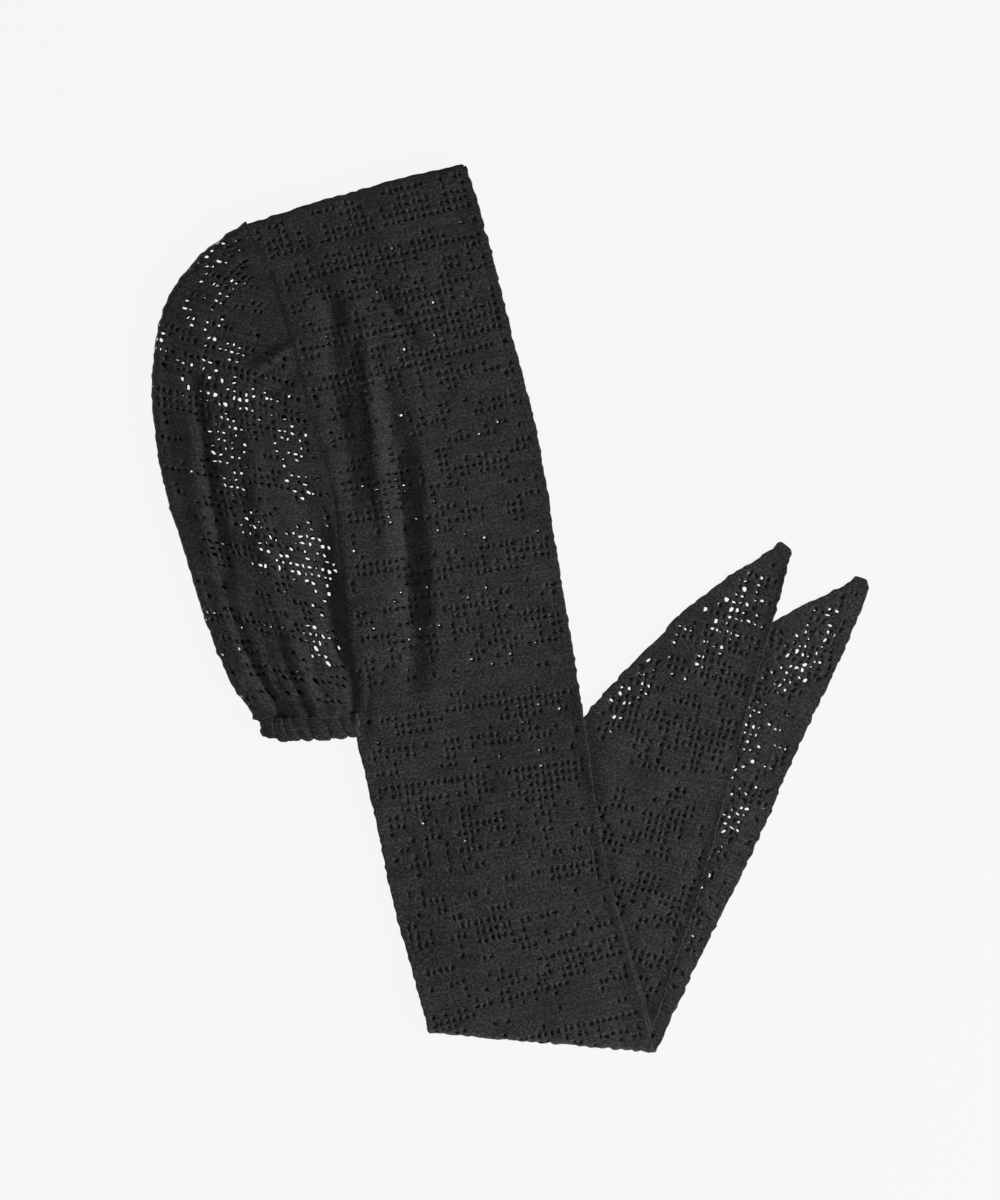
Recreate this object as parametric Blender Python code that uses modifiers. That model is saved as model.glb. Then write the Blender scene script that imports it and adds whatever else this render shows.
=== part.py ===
"""Headscarf: a soft openwork hood with a gathered crown and two long pointed
ties, laid flat on its side with both ties folded back at the bottom.

Metres, +Z up, +Y towards the top of the hood. The cloth lies on the plane z = 0.
"""
import math

import bpy
import numpy as np

# Main sizes of the headscarf, in metres
PANEL_LENGTH = 0.832
FAR_TAKE_UP = 0.024
PANEL_WIDTH = 0.130
HOOD_HEIGHT = 0.336
HOOD_DEPTH = 0.182
CROWN_REACH = 0.103
CASING_HALF = 0.0535
CROWN_START = 0.0050
CASING_HEIGHT = 0.0145

# Cloth walls and the room between neighbouring layers, in metres
DOUBLE_CLOTH = 0.0024
SINGLE_CLOTH = 0.0012
CASING_CLOTH = 0.0016
LAYER_GAP = 0.0004
SEAM_GAP = 0.00045

# The lie of the cloth, in metres and degrees
TOP_FOLD_RADIUS = 0.0040
TOP_SEAM_ANGLE = 34.0
DRAPE_RUN = 0.050
FAR_EDGE_INSET = 0.0015
HOOD_BULGE = 0.0065
NAPE_SHARE = 0.3675
PLEATS_PER_HALF = 8
PLEAT_HEIGHT = 0.0007
GATHER_HEIGHT = 0.0011
GATHERS_NEAR = 5
FOLD_HEIGHT = 0.0020
FOLD_WIDTH = 0.0050
SEAM_FLAT = 0.0120
CASING_DROP = 0.0030
HEM_SCALLOP = 0.0009
CASING_LIFT = 0.0004
NET_GAP = 0.0030

# Place of the hood's top front corner on the floor plane, in metres
HOOD_CORNER = (-0.02612, 0.25823)

# Front edge of each panel, laid flat:
# (share of panel length, near heading, far heading), degrees from straight down
FRONT_LIE = [
    (0.000, 18.6, 18.6),
    (0.072, 14.1, 14.1),
    (0.156, 14.6, 14.6),
    (0.240, 9.0, 9.0),
    (0.325, 9.4, 9.4),
    (0.409, 8.5, 7.9),
    (0.481, 9.3, 10.0),
    (0.541, 15.9, 17.1),
    (0.601, 13.6, 15.3),
    (0.673, 15.0, 18.0),
    (0.757, 16.9, 13.4),
    (0.841, 13.0, 13.0),
    (0.914, 15.9, 14.5),
    (1.000, 9.5, 13.0),
]

# Width of a panel before its tip:
# (share of panel length, share of panel width)
PANEL_TAPER = [
    (0.000, 1.022),
    (0.012, 1.018),
    (0.026, 0.995),
    (0.067, 0.969),
    (0.107, 0.962),
    (0.150, 0.960),
    (0.213, 0.938),
    (0.250, 0.946),
    (0.295, 0.966),
    (0.344, 0.988),
    (0.382, 1.012),
    (0.412, 0.998),
    (0.448, 0.979),
    (0.489, 0.965),
    (0.530, 0.952),
    (0.580, 0.955),
    (1.000, 0.955),
]

# Pointed tip of a tie, both as shares of panel width:
# (distance from the tip, reach of its back edge there)
TIP_TAPER = [
    (0.000, 0.078),
    (0.030, 0.086),
    (0.072, 0.122),
    (0.137, 0.178),
    (0.210, 0.245),
    (0.32, 0.325),
    (0.40, 0.388),
    (0.55, 0.468),
    (0.69, 0.553),
    (0.85, 0.642),
    (1.00, 0.716),
    (1.17, 0.784),
    (1.40, 0.852),
    (1.65, 0.917),
    (1.95, 0.960),
    (2.60, 1.050),
    (7.00, 1.600),
]

# Blunt end of a tip, as shares of panel width: its length, and the step back of the
# front edge at the very end
TIP_BLUNT = (0.030, 0.052)

# Folds of the ties, a row for each side: (share of panel length at the front edge,
# degrees that the fold line falls towards the front, layers between the two walls)
TIE_FOLDS = {
    "near": (0.6350, 4.97, 3),
    "far": (0.6200, 0.80, 1),
}

# Room for a head inside the hood:
# (share of panel length, lift of the near panel as a share of the full lift)
MOUTH_LIFT = [
    (-0.02, 1.0),
    (0.33, 1.0),
    (0.40, 0.72),
    (0.46, 0.28),
    (0.52, 0.0),
    (1.10, 0.0),
]

# Swelling of the hood down its length:
# (share of hood height, share of hood bulge)
BULGE_DOWN = [
    (-0.05, 0.0),
    (0.03, 0.0),
    (0.16, 0.55),
    (0.36, 1.0),
    (0.62, 1.0),
    (0.82, 0.55),
    (0.94, 0.08),
    (1.02, 0.0),
    (1.30, 0.0),
]

# Swelling of the hood from the front edge (0) over the seam (1) to the back (2):
# (place, share of hood bulge)
BULGE_ACROSS = [
    (-0.05, 0.0),
    (0.20, 0.05),
    (0.55, 0.45),
    (1.00, 1.0),
    (1.45, 1.0),
    (1.80, 0.45),
    (2.00, 0.0),
]

# Crown sections from the top corner to the nape:
# (share of nape length, degrees turned back from straight up, share of crown reach)
CROWN_SECTIONS = [
    (0.000, 22.0, 0.056),
    (0.014, 46.0, 0.105),
    (0.032, 62.5, 0.199),
    (0.065, 69.5, 0.331),
    (0.120, 72.8, 0.497),
    (0.175, 74.4, 0.636),
    (0.245, 74.4, 0.766),
    (0.310, 74.4, 0.857),
    (0.380, 77.0, 0.922),
    (0.462, 79.0, 0.963),
    (0.545, 80.0, 0.993),
    (0.650, 80.0, 0.968),
    (0.742, 78.8, 0.914),
    (0.840, 77.5, 0.859),
    (0.925, 81.0, 0.760),
    (0.975, 87.5, 0.640),
    (1.000, 91.0, 0.560),
]

# Soft folds and dents of the near side of the hood. Places are shares of hood
# depth behind the top corner and of hood height below it, given at the start,
# the middle and the end of a fold:
# (back, down, back, down, back, down, share of fold height, share of fold width)
SOFT_FOLDS = [
    (0.376, 0.268, 0.331, 0.459, 0.280, 0.540, -1.00, 1.20),
    (0.260, 0.400, 0.224, 0.590, 0.200, 0.780, 1.00, 1.20),
    (0.191, 0.427, 0.148, 0.640, 0.127, 0.893, -1.10, 1.00),
    (0.615, 0.170, 0.455, 0.200, 0.376, 0.268, -0.70, 1.00),
    (0.308, 0.175, 0.220, 0.230, 0.110, 0.294, -0.60, 1.00),
    (0.818, 0.370, 0.760, 0.570, 0.728, 0.720, -1.50, 1.00),
    (0.728, 0.720, 0.650, 0.850, 0.500, 0.974, -1.10, 0.84),
    (0.968, 0.359, 0.933, 0.558, 0.840, 0.750, -0.80, 0.64),
    (0.862, 0.434, 0.790, 0.690, 0.640, 0.960, 1.00, 1.20),
    (0.662, 0.356, 0.600, 0.340, 0.532, 0.320, 0.90, 0.68),
    (0.640, 0.400, 0.590, 0.390, 0.530, 0.360, -0.70, 0.72),
    (0.525, 0.582, 0.446, 0.740, 0.414, 0.841, -1.30, 1.80),
    (0.611, 0.755, 0.520, 0.870, 0.460, 0.950, 1.00, 0.84),
    (0.417, 0.829, 0.363, 0.877, 0.350, 0.969, -1.00, 0.72),
]

# Rows of quads along a panel, past its top fold and either side of the tie's fold:
# (start, end, both as shares of the panel's length, near rows, far rows)
PANEL_ROWS = [
    (0.384, 0.606, 10, 10),
    (0.668, 0.960, 12, 12),
    (0.970, 0.995, 3, 3),
    (1.000, 1.000, 0, 0),
]
PANEL_COLUMNS = {"near": 15, "far": 10}
FOLD_ROWS = {"near": 8, "far": 8}
TOP_ROWS = {"near": 2, "far": 7}
HOOD_ROWS = 24
CROWN_COLUMNS = (21, 5, 8)
CASING_COLUMNS = (32, 5, 16)
CASING_ROWS = 3

# See-through gaps of the net, in blocks of the cloth's rows and columns of quads:
# (piece, first row, last row, row step, first column, last column, column step)
NET_GAPS = [
    ("crown_panel", 5, 20, 3, 3, 5, 2),
    ("crown_panel", 6, 18, 2, 9, 17, 4),
    ("crown_panel", 9, 21, 3, 15, 19, 2),
    ("crown_panel", 6, 18, 3, 27, 33, 3),
    ("left_panel", 52, 60, 2, 3, 9, 3),
    ("left_panel", 53, 59, 3, 4, 10, 3),
    ("right_panel", 57, 65, 2, 2, 6, 2),
    ("right_panel", 58, 64, 3, 3, 7, 2),
]

LAYER_STEP = DOUBLE_CLOTH + LAYER_GAP
FLOOR_LEVEL = DOUBLE_CLOTH / 2
TOP_AXIS_DROP = TOP_FOLD_RADIUS + DOUBLE_CLOTH / 2
MOUTH_ROOM = 2 * TOP_FOLD_RADIUS - LAYER_STEP
NAPE = NAPE_SHARE * PANEL_LENGTH
LIE_STEPS = 821


def smooth_table(x, keys, values):
    """Cubic curve through a short table."""
    keys = np.asarray(keys, float)
    values = np.asarray(values, float)
    slope = np.gradient(values, keys)
    i = np.clip(np.searchsorted(keys, x) - 1, 0, len(keys) - 2)
    step = keys[i + 1] - keys[i]
    t = np.clip((x - keys[i]) / step, 0, 1)
    start = values[i] * (1 + 2 * t) * (1 - t) ** 2 + slope[i] * step * t * (1 - t) ** 2
    end = values[i + 1] * t * t * (3 - 2 * t) - slope[i + 1] * step * t * t * (1 - t)
    return start + end


def column(table, index):
    return [row[index] for row in table]


def ease(t):
    t = np.clip(t, 0, 1)
    return t * t * (3 - 2 * t)


def front_lie(side):
    """Place and heading of a panel's front edge, laid out flat."""
    share = np.linspace(0, 1, LIE_STEPS)
    heading = np.radians(smooth_table(
        share, column(FRONT_LIE, 0), column(FRONT_LIE, 1 if side == "near" else 2)))
    step = PANEL_LENGTH / (LIE_STEPS - 1)
    middle = (heading[1:] + heading[:-1]) / 2
    x = HOOD_CORNER[0] + np.concatenate([[0], np.cumsum(np.sin(middle))]) * step
    y = HOOD_CORNER[1] - np.concatenate([[0], np.cumsum(np.cos(middle))]) * step
    return share * PANEL_LENGTH, x, y, heading


LIE = {"near": front_lie("near"), "far": front_lie("far")}
LENGTH = {"near": PANEL_LENGTH, "far": PANEL_LENGTH - FAR_TAKE_UP}


def panel_width(side, v):
    body_v = np.maximum(v, TOP_AXIS_DROP + CROWN_START)
    body = smooth_table(body_v / PANEL_LENGTH, column(PANEL_TAPER, 0), column(PANEL_TAPER, 1))
    tip = smooth_table(
        (LENGTH[side] - v) / PANEL_WIDTH, column(TIP_TAPER, 0), column(TIP_TAPER, 1))
    return PANEL_WIDTH * np.minimum(body, tip)


def front_inset(side, v):
    """Step back of a panel's front edge: under the upper panel, and at the blunt tip."""
    length, step = TIP_BLUNT
    tip = PANEL_WIDTH * step * np.clip(1 - (LENGTH[side] - v) / (length * PANEL_WIDTH), 0, 1)
    if side == "near":
        return tip
    return tip + FAR_EDGE_INSET * (1 - ease((v / PANEL_LENGTH - 0.42) / 0.13))


def flat_place(side, u, v):
    """Flat place of the cloth, u back from the front edge and v down it."""
    stations, x, y, heading = LIE[side]
    width = panel_width(side, v)
    across = np.clip(u / width, 0, 1.05)
    top_shape = -0.054 * across - 0.060 * across * (1 - across)
    v = v + PANEL_WIDTH * top_shape * (1 - ease(v / (0.5 * PANEL_WIDTH)))
    turn = np.interp(v, stations, heading)
    past = np.minimum(v, 0) + np.maximum(v - PANEL_LENGTH, 0)
    px = np.interp(v, stations, x) + past * np.sin(turn) - u * np.cos(turn)
    py = np.interp(v, stations, y) - past * np.cos(turn) - u * np.sin(turn)
    return px, py


def tie_fold(side):
    """Axis of a tie's fold: a point, the direction out of the fold, and its radius."""
    share, fall, layers_inside = TIE_FOLDS[side]
    radius = layers_inside * LAYER_STEP / 2
    stations, x, y, heading = LIE[side]
    corner = share * PANEL_LENGTH
    out = (-math.sin(math.radians(fall)), -math.cos(math.radians(fall)))
    drop = radius + DOUBLE_CLOTH / 2
    point = (np.interp(corner, stations, x) - out[0] * drop,
             np.interp(corner, stations, y) - out[1] * drop)
    return point, out, radius


def past_fold(side, x, y):
    point, out, radius = tie_fold(side)
    return (x - point[0]) * out[0] + (y - point[1]) * out[1]


def fold_under(side, x, y):
    """Folds the flat cloth under: new place, and the part of a half turn made."""
    point, out, radius = tie_fold(side)
    past = past_fold(side, x, y)
    turned = np.clip(past / radius, 0, math.pi)
    shift = np.minimum(past, 0) + radius * np.sin(turned)
    shift = shift - np.maximum(past - math.pi * radius, 0)
    return x + (shift - past) * out[0], y + (shift - past) * out[1], turned


def tie_outline(side):
    """Outline on the floor plane of the part of a tie that is folded back."""
    point, out, radius = tie_fold(side)
    v = np.linspace(0.5 * LENGTH[side], LENGTH[side], 120)
    loop = []
    for u in (front_inset(side, v), panel_width(side, v)):
        x, y = flat_place(side, u, v)
        keep = past_fold(side, x, y) > math.pi * radius
        fx, fy, turned = fold_under(side, x, y)
        loop.append(np.stack([fx[keep], fy[keep]], 1))
    reach = np.array(out) * (radius + DOUBLE_CLOTH / 2)
    root = []
    for edge in loop:
        drop = past_fold(side, edge[0, 0], edge[0, 1])
        root.append(edge[0] - np.array(out) * drop + reach)
    return np.concatenate([[root[0]], loop[0], loop[1][::-1], [root[1]]])


def outside_distance(x, y, loop):
    """Distance outside a closed outline, 0 inside it."""
    shape = np.shape(x)
    px = np.ravel(x)[:, None]
    py = np.ravel(y)[:, None]
    a = loop
    b = np.roll(loop, -1, axis=0)
    edge = b - a
    length = np.maximum((edge ** 2).sum(1), 1e-18)
    t = np.clip(((px - a[:, 0]) * edge[:, 0] + (py - a[:, 1]) * edge[:, 1]) / length, 0, 1)
    gap = np.hypot(px - a[:, 0] - t * edge[:, 0], py - a[:, 1] - t * edge[:, 1]).min(1)
    rise = np.where(edge[:, 1] == 0, 1e-12, edge[:, 1])
    crossing = a[:, 0] + (py - a[:, 1]) * edge[:, 0] / rise
    hits = ((a[:, 1] > py) != (b[:, 1] > py)) & (px < crossing)
    inside = hits.sum(1) % 2 == 1
    return np.where(inside, 0, gap).reshape(shape)


NEAR_TIE = tie_outline("near")
FAR_TIE = tie_outline("far")


def cover(x, y, loop):
    """1 on top of a tie, easing to 0 where the cloth above reaches the floor."""
    return 1 - ease(outside_distance(x, y, loop) / DRAPE_RUN)


def fold_path(row):
    """Points along a soft fold, a curve through its start, middle and end."""
    t = np.linspace(0, 1, 9)
    start, middle, end = [
        (HOOD_CORNER[0] - row[i] * HOOD_DEPTH, HOOD_CORNER[1] - row[i + 1] * HOOD_HEIGHT)
        for i in (0, 2, 4)]
    bend = [2 * middle[k] - (start[k] + end[k]) / 2 for k in (0, 1)]
    path = [start[k] * (1 - t) ** 2 + 2 * bend[k] * t * (1 - t) + end[k] * t * t
            for k in (0, 1)]
    return t, path[0], path[1]


def soft_folds(x, y):
    """Height of the soft folds and dents."""
    height = np.zeros(np.shape(x))
    for row in SOFT_FOLDS:
        t, path_x, path_y = fold_path(row)
        best = np.full(np.shape(x), HOOD_HEIGHT)
        place = np.zeros(np.shape(x))
        for i in range(len(t) - 1):
            dx = path_x[i + 1] - path_x[i]
            dy = path_y[i + 1] - path_y[i]
            part = ((x - path_x[i]) * dx + (y - path_y[i]) * dy) / (dx * dx + dy * dy)
            part = np.clip(part, 0, 1)
            away = np.hypot(x - path_x[i] - part * dx, y - path_y[i] - part * dy)
            place = np.where(away < best, t[i] + part * (t[i + 1] - t[i]), place)
            best = np.minimum(best, away)
        fade = np.sqrt(np.clip(np.sin(np.pi * (0.06 + 0.88 * place)), 0, 1))
        shape = np.exp(-(best / (row[7] * FOLD_WIDTH)) ** 2)
        height = height + row[6] * FOLD_HEIGHT * fade * shape
    return height


def bulge(across, down):
    return HOOD_BULGE * (
        np.clip(smooth_table(across, column(BULGE_ACROSS, 0), column(BULGE_ACROSS, 1)), 0, 1)
        * np.clip(smooth_table(down, column(BULGE_DOWN, 0), column(BULGE_DOWN, 1)), 0, 1))


def far_height(x, y):
    """Middle of the lower panel: on the floor, and over the ties folded under it."""
    return FLOOR_LEVEL + LAYER_STEP * (cover(x, y, NEAR_TIE) + cover(x, y, FAR_TIE))


def near_height(x, y, across, v):
    """Middle of the upper panel: over the lower one and the room for a head."""
    lift = np.clip(smooth_table(
        v / PANEL_LENGTH, column(MOUTH_LIFT, 0), column(MOUTH_LIFT, 1)), 0, 1)
    top_fade = ease((v - TOP_AXIS_DROP) / (0.10 * HOOD_HEIGHT))
    swell = bulge(across, v / HOOD_HEIGHT) + soft_folds(x, y) * top_fade
    return far_height(x, y) + LAYER_STEP + MOUTH_ROOM * lift + swell


def over_top_fold(side, u, v):
    """The flat place and height of a panel, and its turn over the hood's top."""
    flat_v = np.maximum(v, TOP_AXIS_DROP)
    x, y = flat_place(side, u, flat_v)
    turned = np.maximum(TOP_AXIS_DROP - v, 0) / TOP_FOLD_RADIUS
    above_x, above_y = flat_place(side, u, flat_v - TOP_FOLD_RADIUS / 4)
    up = np.hypot(above_x - x, above_y - y)
    shift = TOP_FOLD_RADIUS * np.sin(turned)
    x = x + shift * (above_x - x) / up
    y = y + shift * (above_y - y) / up
    return x, y, TOP_FOLD_RADIUS * (1 - np.cos(turned))


def panel_place(side, u, v):
    """Place of a panel's middle surface in the laid headscarf."""
    x, y, turned_height = over_top_fold(side, u, v)
    across = u / panel_width(side, np.maximum(v, TOP_AXIS_DROP))
    past = past_fold(side, x, y)
    fx, fy, turned = fold_under(side, x, y)
    point, out, radius = tie_fold(side)
    if side == "near":
        upper = near_height(fx, fy, across, np.maximum(v, TOP_AXIS_DROP))
        lower = FLOOR_LEVEL + 0 * upper
        blend = ease(1 + past / DRAPE_RUN)
        upper = upper + blend * (lower + 2 * radius - upper)
        upper = upper - turned_height
    else:
        lower = FLOOR_LEVEL + LAYER_STEP * cover(fx, fy, NEAR_TIE)
        upper = far_height(fx, fy) + turned_height
        blend = ease(1 + past / DRAPE_RUN)
        upper = upper + blend * (lower + 2 * radius - upper)
    z = lower + radius * (1 + np.cos(turned))
    z = np.where(turned <= 0, upper, np.where(turned >= math.pi, lower, z))
    return np.stack([fx, fy, z], -1)


def seam_turn(side):
    """How far the top of a panel turns over the hood's top fold, in metres."""
    over = 90 - TOP_SEAM_ANGLE if side == "near" else 90 + TOP_SEAM_ANGLE
    return TOP_FOLD_RADIUS * math.radians(over) - SEAM_GAP / 2


def hood_stations():
    """Rows down the hood that the panels and the crown share along their seams."""
    top = TOP_AXIS_DROP + CROWN_START
    return top + (NAPE - top) * np.linspace(0, 1, HOOD_ROWS + 1) ** 1.25


def panel_stations(side):
    """Rows of a panel along its front edge, and how far each leans with the fold."""
    point, out, radius = tie_fold(side)
    share, fall, layers_inside = TIE_FOLDS[side]
    stations, x, y, heading = LIE[side]
    slant = np.interp(share * PANEL_LENGTH, stations, heading) + math.radians(fall)
    fold_start = share * PANEL_LENGTH - (radius + DOUBLE_CLOTH / 2) / math.cos(slant)
    fold_length = math.pi * radius / math.cos(slant)
    turn = seam_turn(side)
    rows = [TOP_AXIS_DROP - turn]
    rows += list(TOP_AXIS_DROP - turn + SEAM_GAP + (turn - SEAM_GAP)
                 * np.linspace(0, 1, TOP_ROWS[side] + 1))
    rows += list(hood_stations())
    for i, row in enumerate(PANEL_ROWS):
        if i == 1:
            rows += list(fold_start + fold_length * np.linspace(0, 1, FOLD_ROWS[side] + 1))
        count = row[2] if side == "near" else row[3]
        rows += list(LENGTH[side] * np.linspace(row[0], row[1], count + 1))
    rows = np.array(rows)
    before = ease((rows - fold_start + 0.95 * PANEL_WIDTH) / (0.9 * PANEL_WIDTH))
    after = ease((fold_start + fold_length + PANEL_WIDTH - rows) / (0.9 * PANEL_WIDTH))
    return rows, math.tan(slant) * np.minimum(before, after)


def panel_grid(side):
    rows, lean = panel_stations(side)
    part = np.linspace(0, 1, PANEL_COLUMNS[side] + 1)[None, :]
    v = np.repeat(rows[:, None], part.shape[1], axis=1)
    for _ in range(8):
        start = front_inset(side, v)
        u = start + part * (panel_width(side, np.maximum(v, TOP_AXIS_DROP)) - start)
        v = rows[:, None] - lean[:, None] * u
    return panel_place(side, u, v)


def crown_grid():
    """Middle surface of the crown, from the near seam round the back to the far one."""
    near, turn, far = CROWN_COLUMNS
    seam_v = hood_stations()
    down = (seam_v - seam_v[0]) / (seam_v[-1] - seam_v[0])
    seam_v[-1] -= SEAM_GAP
    seam_u = panel_width("near", seam_v) + SEAM_GAP
    sx, sy, _ = over_top_fold("near", seam_u, seam_v)
    tx, ty, _ = over_top_fold("far", seam_u, seam_v)
    angle = np.radians(smooth_table(down, column(CROWN_SECTIONS, 0), column(CROWN_SECTIONS, 1)))
    reach = CROWN_REACH * smooth_table(
        down, column(CROWN_SECTIONS, 0), column(CROWN_SECTIONS, 2))
    run = np.maximum(reach - TOP_FOLD_RADIUS * ease(down / 0.05), 0)
    bx, by = -np.sin(angle), np.cos(angle)
    grid = []
    for i in range(len(down)):
        b = np.linspace(0, 1, near + 1)
        x = sx[i] + bx[i] * run[i] * b
        y = sy[i] + by[i] * run[i] * b
        floor = SINGLE_CLOTH / 2 + (FLOOR_LEVEL - SINGLE_CLOTH / 2) * (1 - ease(down[i] / 0.06))
        axis = floor + TOP_FOLD_RADIUS
        seam_z = near_height(x, y, 1 + b, np.full(len(b), seam_v[i]))
        swell = seam_z - (FLOOR_LEVEL + 2 * TOP_FOLD_RADIUS)
        rim = ease((1 - b) * run[i] / SEAM_FLAT)
        gather = GATHER_HEIGHT * ease((down[i] - 0.70) / 0.28)
        wave = gather * np.sin(2 * math.pi * GATHERS_NEAR * b) * np.minimum(rim, ease(b / 0.12))
        z = axis + TOP_FOLD_RADIUS + (FLOOR_LEVEL - floor) * (1 - ease(b)) + swell * rim + wave
        part = list(np.stack([x, y, z], -1))
        for a in np.linspace(0, math.pi, turn + 2)[1:-1]:
            out = TOP_FOLD_RADIUS * math.sin(a)
            part.append(np.array([x[-1] + out * bx[i], y[-1] + out * by[i],
                                  axis + TOP_FOLD_RADIUS * math.cos(a)]))
        c = np.linspace(0, 1, far + 1)
        fx = x[-1] + (tx[i] - x[-1]) * c
        fy = y[-1] + (ty[i] - y[-1]) * c
        fz = floor + (FLOOR_LEVEL - floor) * ease(c)
        part += list(np.stack([fx, fy, fz], -1))
        grid.append(part)
    return np.array(grid)


def casing_grid():
    """Middle surface of the gathered casing, from the near side round to the far one."""
    near, turn, far = CASING_COLUMNS
    drop = CASING_HEIGHT * np.linspace(0, 1, CASING_ROWS + 1)
    low = FLOOR_LEVEL + CASING_LIFT
    high = FLOOR_LEVEL + 2 * TOP_FOLD_RADIUS
    radius = (high - low) / 2
    run = CASING_HALF - radius - CASING_CLOTH / 2
    grid = []
    for i, d in enumerate(drop):
        v = np.array([NAPE + SEAM_GAP + d])
        u = panel_width("near", v) + 1.5 * SEAM_GAP
        x0, y0 = [float(c[0]) for c in flat_place("near", u, v)]
        x1, y1 = [float(c[0]) for c in flat_place("far", u, v)]
        b = np.linspace(0, 1, near + 1)
        rim = np.minimum(ease(b * 8), ease((1 - b) * 8))
        wave = np.sin(2 * math.pi * PLEATS_PER_HALF * b) * rim
        hem = HEM_SCALLOP * wave * (i == CASING_ROWS)
        part = list(np.stack([x0 - run * b, y0 - CASING_DROP * b + hem, high + PLEAT_HEIGHT * wave], -1))
        left_x, left_y = x0 - run, y0 - CASING_DROP
        for a in np.linspace(0, math.pi, turn + 2)[1:-1]:
            part.append(np.array([left_x - radius * math.sin(a), left_y,
                                  low + radius * (1 + math.cos(a))]))
        c = np.linspace(0, 1, far + 1)
        rim = np.minimum(ease(c * 8), ease((1 - c) * 8))
        wave = np.sin(2 * math.pi * 6 * c) * rim
        part += list(np.stack([left_x + (x1 - left_x) * c, left_y + (y1 - left_y) * c,
                               low + 0.4 * PLEAT_HEIGHT * wave], -1))
        grid.append(part)
    return np.array(grid)


def gap_cells(name, rows, columns):
    """Which quads of a piece's grid have a gap of the net cut through them."""
    open_cells = np.zeros((rows - 1, columns - 1), bool)
    for piece, row0, row1, row_step, column0, column1, column_step in NET_GAPS:
        if piece == name:
            open_cells[row0:row1 + 1:row_step, column0:column1 + 1:column_step] = True
    return open_cells


def cut_gap(points, corners):
    """Four quads round a square gap in the middle of a quad."""
    a, b, c, d = [np.array(points[i]) for i in corners]
    down = min(NET_GAP / np.linalg.norm(b - a), 0.6) / 2
    along = min(NET_GAP / np.linalg.norm(d - a), 0.6) / 2
    first = len(points)
    for s, t in ((-down, -along), (down, -along), (down, along), (-down, along)):
        s, t = 0.5 + s, 0.5 + t
        points.append(tuple(a * (1 - s) * (1 - t) + b * s * (1 - t) + c * s * t + d * (1 - s) * t))
    inner = [first, first + 1, first + 2, first + 3]
    return [(corners[i], corners[(i + 1) % 4], inner[(i + 1) % 4], inner[i]) for i in range(4)]


def cloth_wall(name, grid, wall, colour, collection):
    """A grid of points as a cloth surface, thickened by a Solidify modifier."""
    rows, columns, _ = grid.shape
    points = [tuple(p) for p in grid.reshape(-1, 3)]
    index = np.arange(rows * columns).reshape(rows, columns)
    open_cells = gap_cells(name, rows, columns)
    faces = []
    for r in range(rows - 1):
        for c in range(columns - 1):
            quad = [int(i) for i in (index[r, c], index[r + 1, c], index[r + 1, c + 1], index[r, c + 1])]
            faces += cut_gap(points, quad) if open_cells[r, c] else [quad]
    mesh = bpy.data.meshes.new(name)
    mesh.from_pydata(points, [], faces)
    mesh.polygons.foreach_set("use_smooth", [True] * len(mesh.polygons))
    mesh.update()
    piece = bpy.data.objects.new(name, mesh)
    collection.objects.link(piece)
    thicken = piece.modifiers.new("Cloth wall", "SOLIDIFY")
    thicken.thickness = wall
    thicken.offset = 0
    thicken.use_even_offset = True
    thicken.use_quality_normals = True
    thicken.use_rim = True
    material = bpy.data.materials.new(name + "_cloth")
    material.use_nodes = True
    shader = material.node_tree.nodes["Principled BSDF"]
    shader.inputs["Base Color"].default_value = colour
    shader.inputs["Roughness"].default_value = 0.9
    mesh.materials.append(material)
    return piece


def clear_scene():
    for item in list(bpy.data.objects):
        bpy.data.objects.remove(item, do_unlink=True)


def main():
    clear_scene()
    collection = bpy.data.collections.new("Headscarf")
    bpy.context.scene.collection.children.link(collection)
    black = (0.018, 0.018, 0.020, 1)
    cloth_wall("left_panel", panel_grid("near"), DOUBLE_CLOTH, black, collection)
    cloth_wall("right_panel", panel_grid("far"), DOUBLE_CLOTH, black, collection)
    cloth_wall("crown_panel", crown_grid(), SINGLE_CLOTH, black, collection)
    cloth_wall("nape_casing", casing_grid(), CASING_CLOTH, black, collection)


main()
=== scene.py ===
"""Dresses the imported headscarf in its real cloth: a black openwork net in two plies,
with turned edges, a gathered crown, a pleated casing, seams and stitching.

Metres, +Z up, +Y towards the top of the hood. The cloth lies on the plane z = 0.
"""
import math

import bpy
import numpy as np
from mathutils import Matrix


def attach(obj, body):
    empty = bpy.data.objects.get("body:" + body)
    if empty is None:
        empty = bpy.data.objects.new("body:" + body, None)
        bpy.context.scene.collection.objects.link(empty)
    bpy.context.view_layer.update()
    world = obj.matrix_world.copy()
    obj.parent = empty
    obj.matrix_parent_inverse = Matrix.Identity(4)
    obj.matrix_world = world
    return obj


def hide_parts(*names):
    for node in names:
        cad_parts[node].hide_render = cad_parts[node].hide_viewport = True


bl_info = {
    "name": "Openwork headscarf",
    "version": (1, 0, 0),
    "blender": (4, 5, 0),
    "location": "View3D > Sidebar > Headscarf",
    "description": "Net cloth, seams, stitching and studio of a laid openwork headscarf",
    "category": "Object",
}

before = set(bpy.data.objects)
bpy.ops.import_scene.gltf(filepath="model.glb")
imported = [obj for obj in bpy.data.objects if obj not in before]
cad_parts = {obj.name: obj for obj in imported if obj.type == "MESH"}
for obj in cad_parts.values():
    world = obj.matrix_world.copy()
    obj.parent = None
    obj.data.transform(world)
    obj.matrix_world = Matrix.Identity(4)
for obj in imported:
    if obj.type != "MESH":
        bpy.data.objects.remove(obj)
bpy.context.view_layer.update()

# Main sizes of the headscarf, in metres
PANEL_LENGTH = 0.832
FAR_TAKE_UP = 0.024
PANEL_WIDTH = 0.130
HOOD_HEIGHT = 0.336
HOOD_DEPTH = 0.182
CROWN_REACH = 0.103
CASING_HALF = 0.0535
CROWN_START = 0.0050
CASING_HEIGHT = 0.0145

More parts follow.
